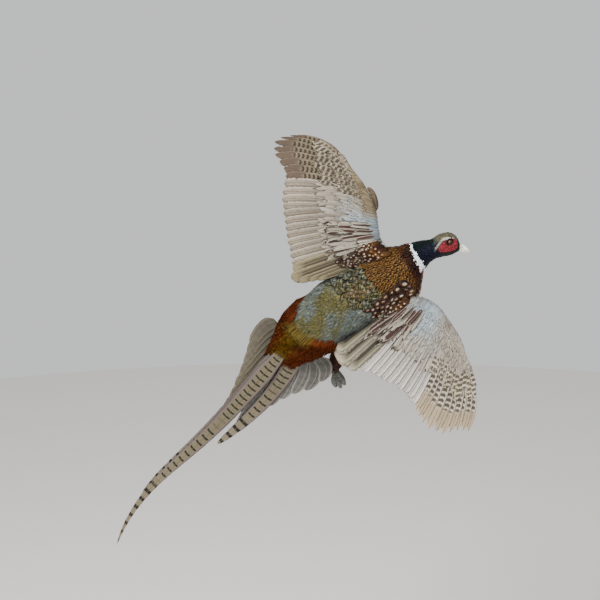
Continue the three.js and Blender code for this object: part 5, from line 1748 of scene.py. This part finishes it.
class PheasantStandSettings(bpy.types.PropertyGroup):
    rosette: bpy.props.FloatProperty(name="Rosette radius", description="Radius of the wall rosette",
                                     default=0.042, unit="LENGTH")
    wood: bpy.props.FloatVectorProperty(name="Wood", description="Colour of the rosette", size=4,
                                        default=linear("#8a5a34"), min=0.0, max=1.0, subtype="COLOR")
    steel: bpy.props.FloatVectorProperty(name="Steel", description="Colour of the rod", size=4,
                                         default=linear("#8f9296"), min=0.0, max=1.0, subtype="COLOR")


class PheasantStageSettings(bpy.types.PropertyGroup):
    floor: bpy.props.FloatVectorProperty(name="Floor", description="Colour of the floor", size=4,
                                         default=linear("#e9e6e0"), min=0.0, max=1.0, subtype="COLOR")
    floor_height: bpy.props.FloatProperty(name="Floor height", description="Height of the floor",
                                          default=-1.3, unit="LENGTH")
    key_power: bpy.props.FloatProperty(name="Key power", description="Power of the main light",
                                       default=170.0, unit="POWER")
    lens: bpy.props.FloatProperty(name="Lens", description="Focal length of the camera", default=52.22,
                                  unit="CAMERA")


class PHEASANT_OT_skin(bpy.types.Operator):
    """Fuse the skin under the coat"""
    bl_idname = "pheasant.skin"
    bl_label = "Skin"

    def execute(self, context):
        lay_skin(context.scene.pheasant_coat)
        return {"FINISHED"}


class PHEASANT_OT_body_coat(bpy.types.Operator):
    """Lay the feathers of head, body and thighs"""
    bl_idname = "pheasant.body_coat"
    bl_label = "Body coat"

    def execute(self, context):
        lay_body_coat(context.scene.pheasant_coat)
        return {"FINISHED"}


class PHEASANT_OT_wing_coverts(bpy.types.Operator):
    """Lay the small feathers of both wings"""
    bl_idname = "pheasant.wing_coverts"
    bl_label = "Wing coverts"

    def execute(self, context):
        lay_wing_coverts(context.scene.pheasant_coat)
        return {"FINISHED"}


class PHEASANT_OT_flight_feathers(bpy.types.Operator):
    """Lay the quill feathers of both wings"""
    bl_idname = "pheasant.flight_feathers"
    bl_label = "Flight feathers"

    def execute(self, context):
        lay_flight_feathers(context.scene.pheasant_coat)
        return {"FINISHED"}


class PHEASANT_OT_alulae(bpy.types.Operator):
    """Lay the small feathers at the bend of both wings"""
    bl_idname = "pheasant.alulae"
    bl_label = "Alulae"

    def execute(self, context):
        lay_alulae(context.scene.pheasant_coat)
        return {"FINISHED"}


class PHEASANT_OT_tail(bpy.types.Operator):
    """Lay the tail feathers"""
    bl_idname = "pheasant.tail"
    bl_label = "Tail"

    def execute(self, context):
        lay_tail(context.scene.pheasant_coat)
        return {"FINISHED"}


class PHEASANT_OT_eyes(bpy.types.Operator):
    """Set the glass eyes"""
    bl_idname = "pheasant.eyes"
    bl_label = "Eyes"

    def execute(self, context):
        make_eyes(context.scene.pheasant_face)
        return {"FINISHED"}


class PHEASANT_OT_wattles(bpy.types.Operator):
    """Shape the bare red face and the lids"""
    bl_idname = "pheasant.wattles"
    bl_label = "Wattles"

    def execute(self, context):
        make_wattles(context.scene.pheasant_face)
        return {"FINISHED"}


class PHEASANT_OT_bill(bpy.types.Operator):
    """Shape the two halves of the bill"""
    bl_idname = "pheasant.bill"
    bl_label = "Bill"

    def execute(self, context):
        make_bill(context.scene.pheasant_face)
        return {"FINISHED"}


class PHEASANT_OT_legs(bpy.types.Operator):
    """Shape shanks, spurs, toes and claws"""
    bl_idname = "pheasant.legs"
    bl_label = "Legs"

    def execute(self, context):
        make_legs()
        return {"FINISHED"}


class PHEASANT_OT_stand(bpy.types.Operator):
    """Turn the wall rosette and its rod"""
    bl_idname = "pheasant.stand"
    bl_label = "Stand"

    def execute(self, context):
        make_stand(context.scene.pheasant_stand)
        return {"FINISHED"}


class PHEASANT_OT_stage(bpy.types.Operator):
    """Set floor, lights and camera"""
    bl_idname = "pheasant.stage"
    bl_label = "Stage"

    def execute(self, context):
        set_stage(context.scene.pheasant_stage)
        return {"FINISHED"}


OPERATORS = (PHEASANT_OT_skin, PHEASANT_OT_body_coat, PHEASANT_OT_wing_coverts,
             PHEASANT_OT_flight_feathers, PHEASANT_OT_alulae, PHEASANT_OT_tail,
             PHEASANT_OT_eyes, PHEASANT_OT_wattles, PHEASANT_OT_bill,
             PHEASANT_OT_legs, PHEASANT_OT_stand, PHEASANT_OT_stage)


class PHEASANT_PT_panel(bpy.types.Panel):
    """Buttons for every building step"""
    bl_label = "Mounted pheasant"
    bl_idname = "PHEASANT_PT_panel"
    bl_space_type = "VIEW_3D"
    bl_region_type = "UI"
    bl_category = "Pheasant"

    def draw(self, context):
        for step in OPERATORS:
            self.layout.operator(step.bl_idname)


SETTINGS = {"pheasant_coat": PheasantCoatSettings, "pheasant_face": PheasantFaceSettings,
            "pheasant_stand": PheasantStandSettings, "pheasant_stage": PheasantStageSettings}
CLASSES = (*SETTINGS.values(), *OPERATORS, PHEASANT_PT_panel)


def register():
    for cls in CLASSES:
        bpy.utils.register_class(cls)
    for name, group in SETTINGS.items():
        setattr(bpy.types.Scene, name, bpy.props.PointerProperty(type=group))


def unregister():
    for name in SETTINGS:
        delattr(bpy.types.Scene, name)
    for cls in reversed(CLASSES):
        bpy.utils.unregister_class(cls)


def main():
    register()
    for step in OPERATORS:
        getattr(bpy.ops.pheasant, step.bl_idname.split(".")[1])()


if __name__ == "__main__":
    main()
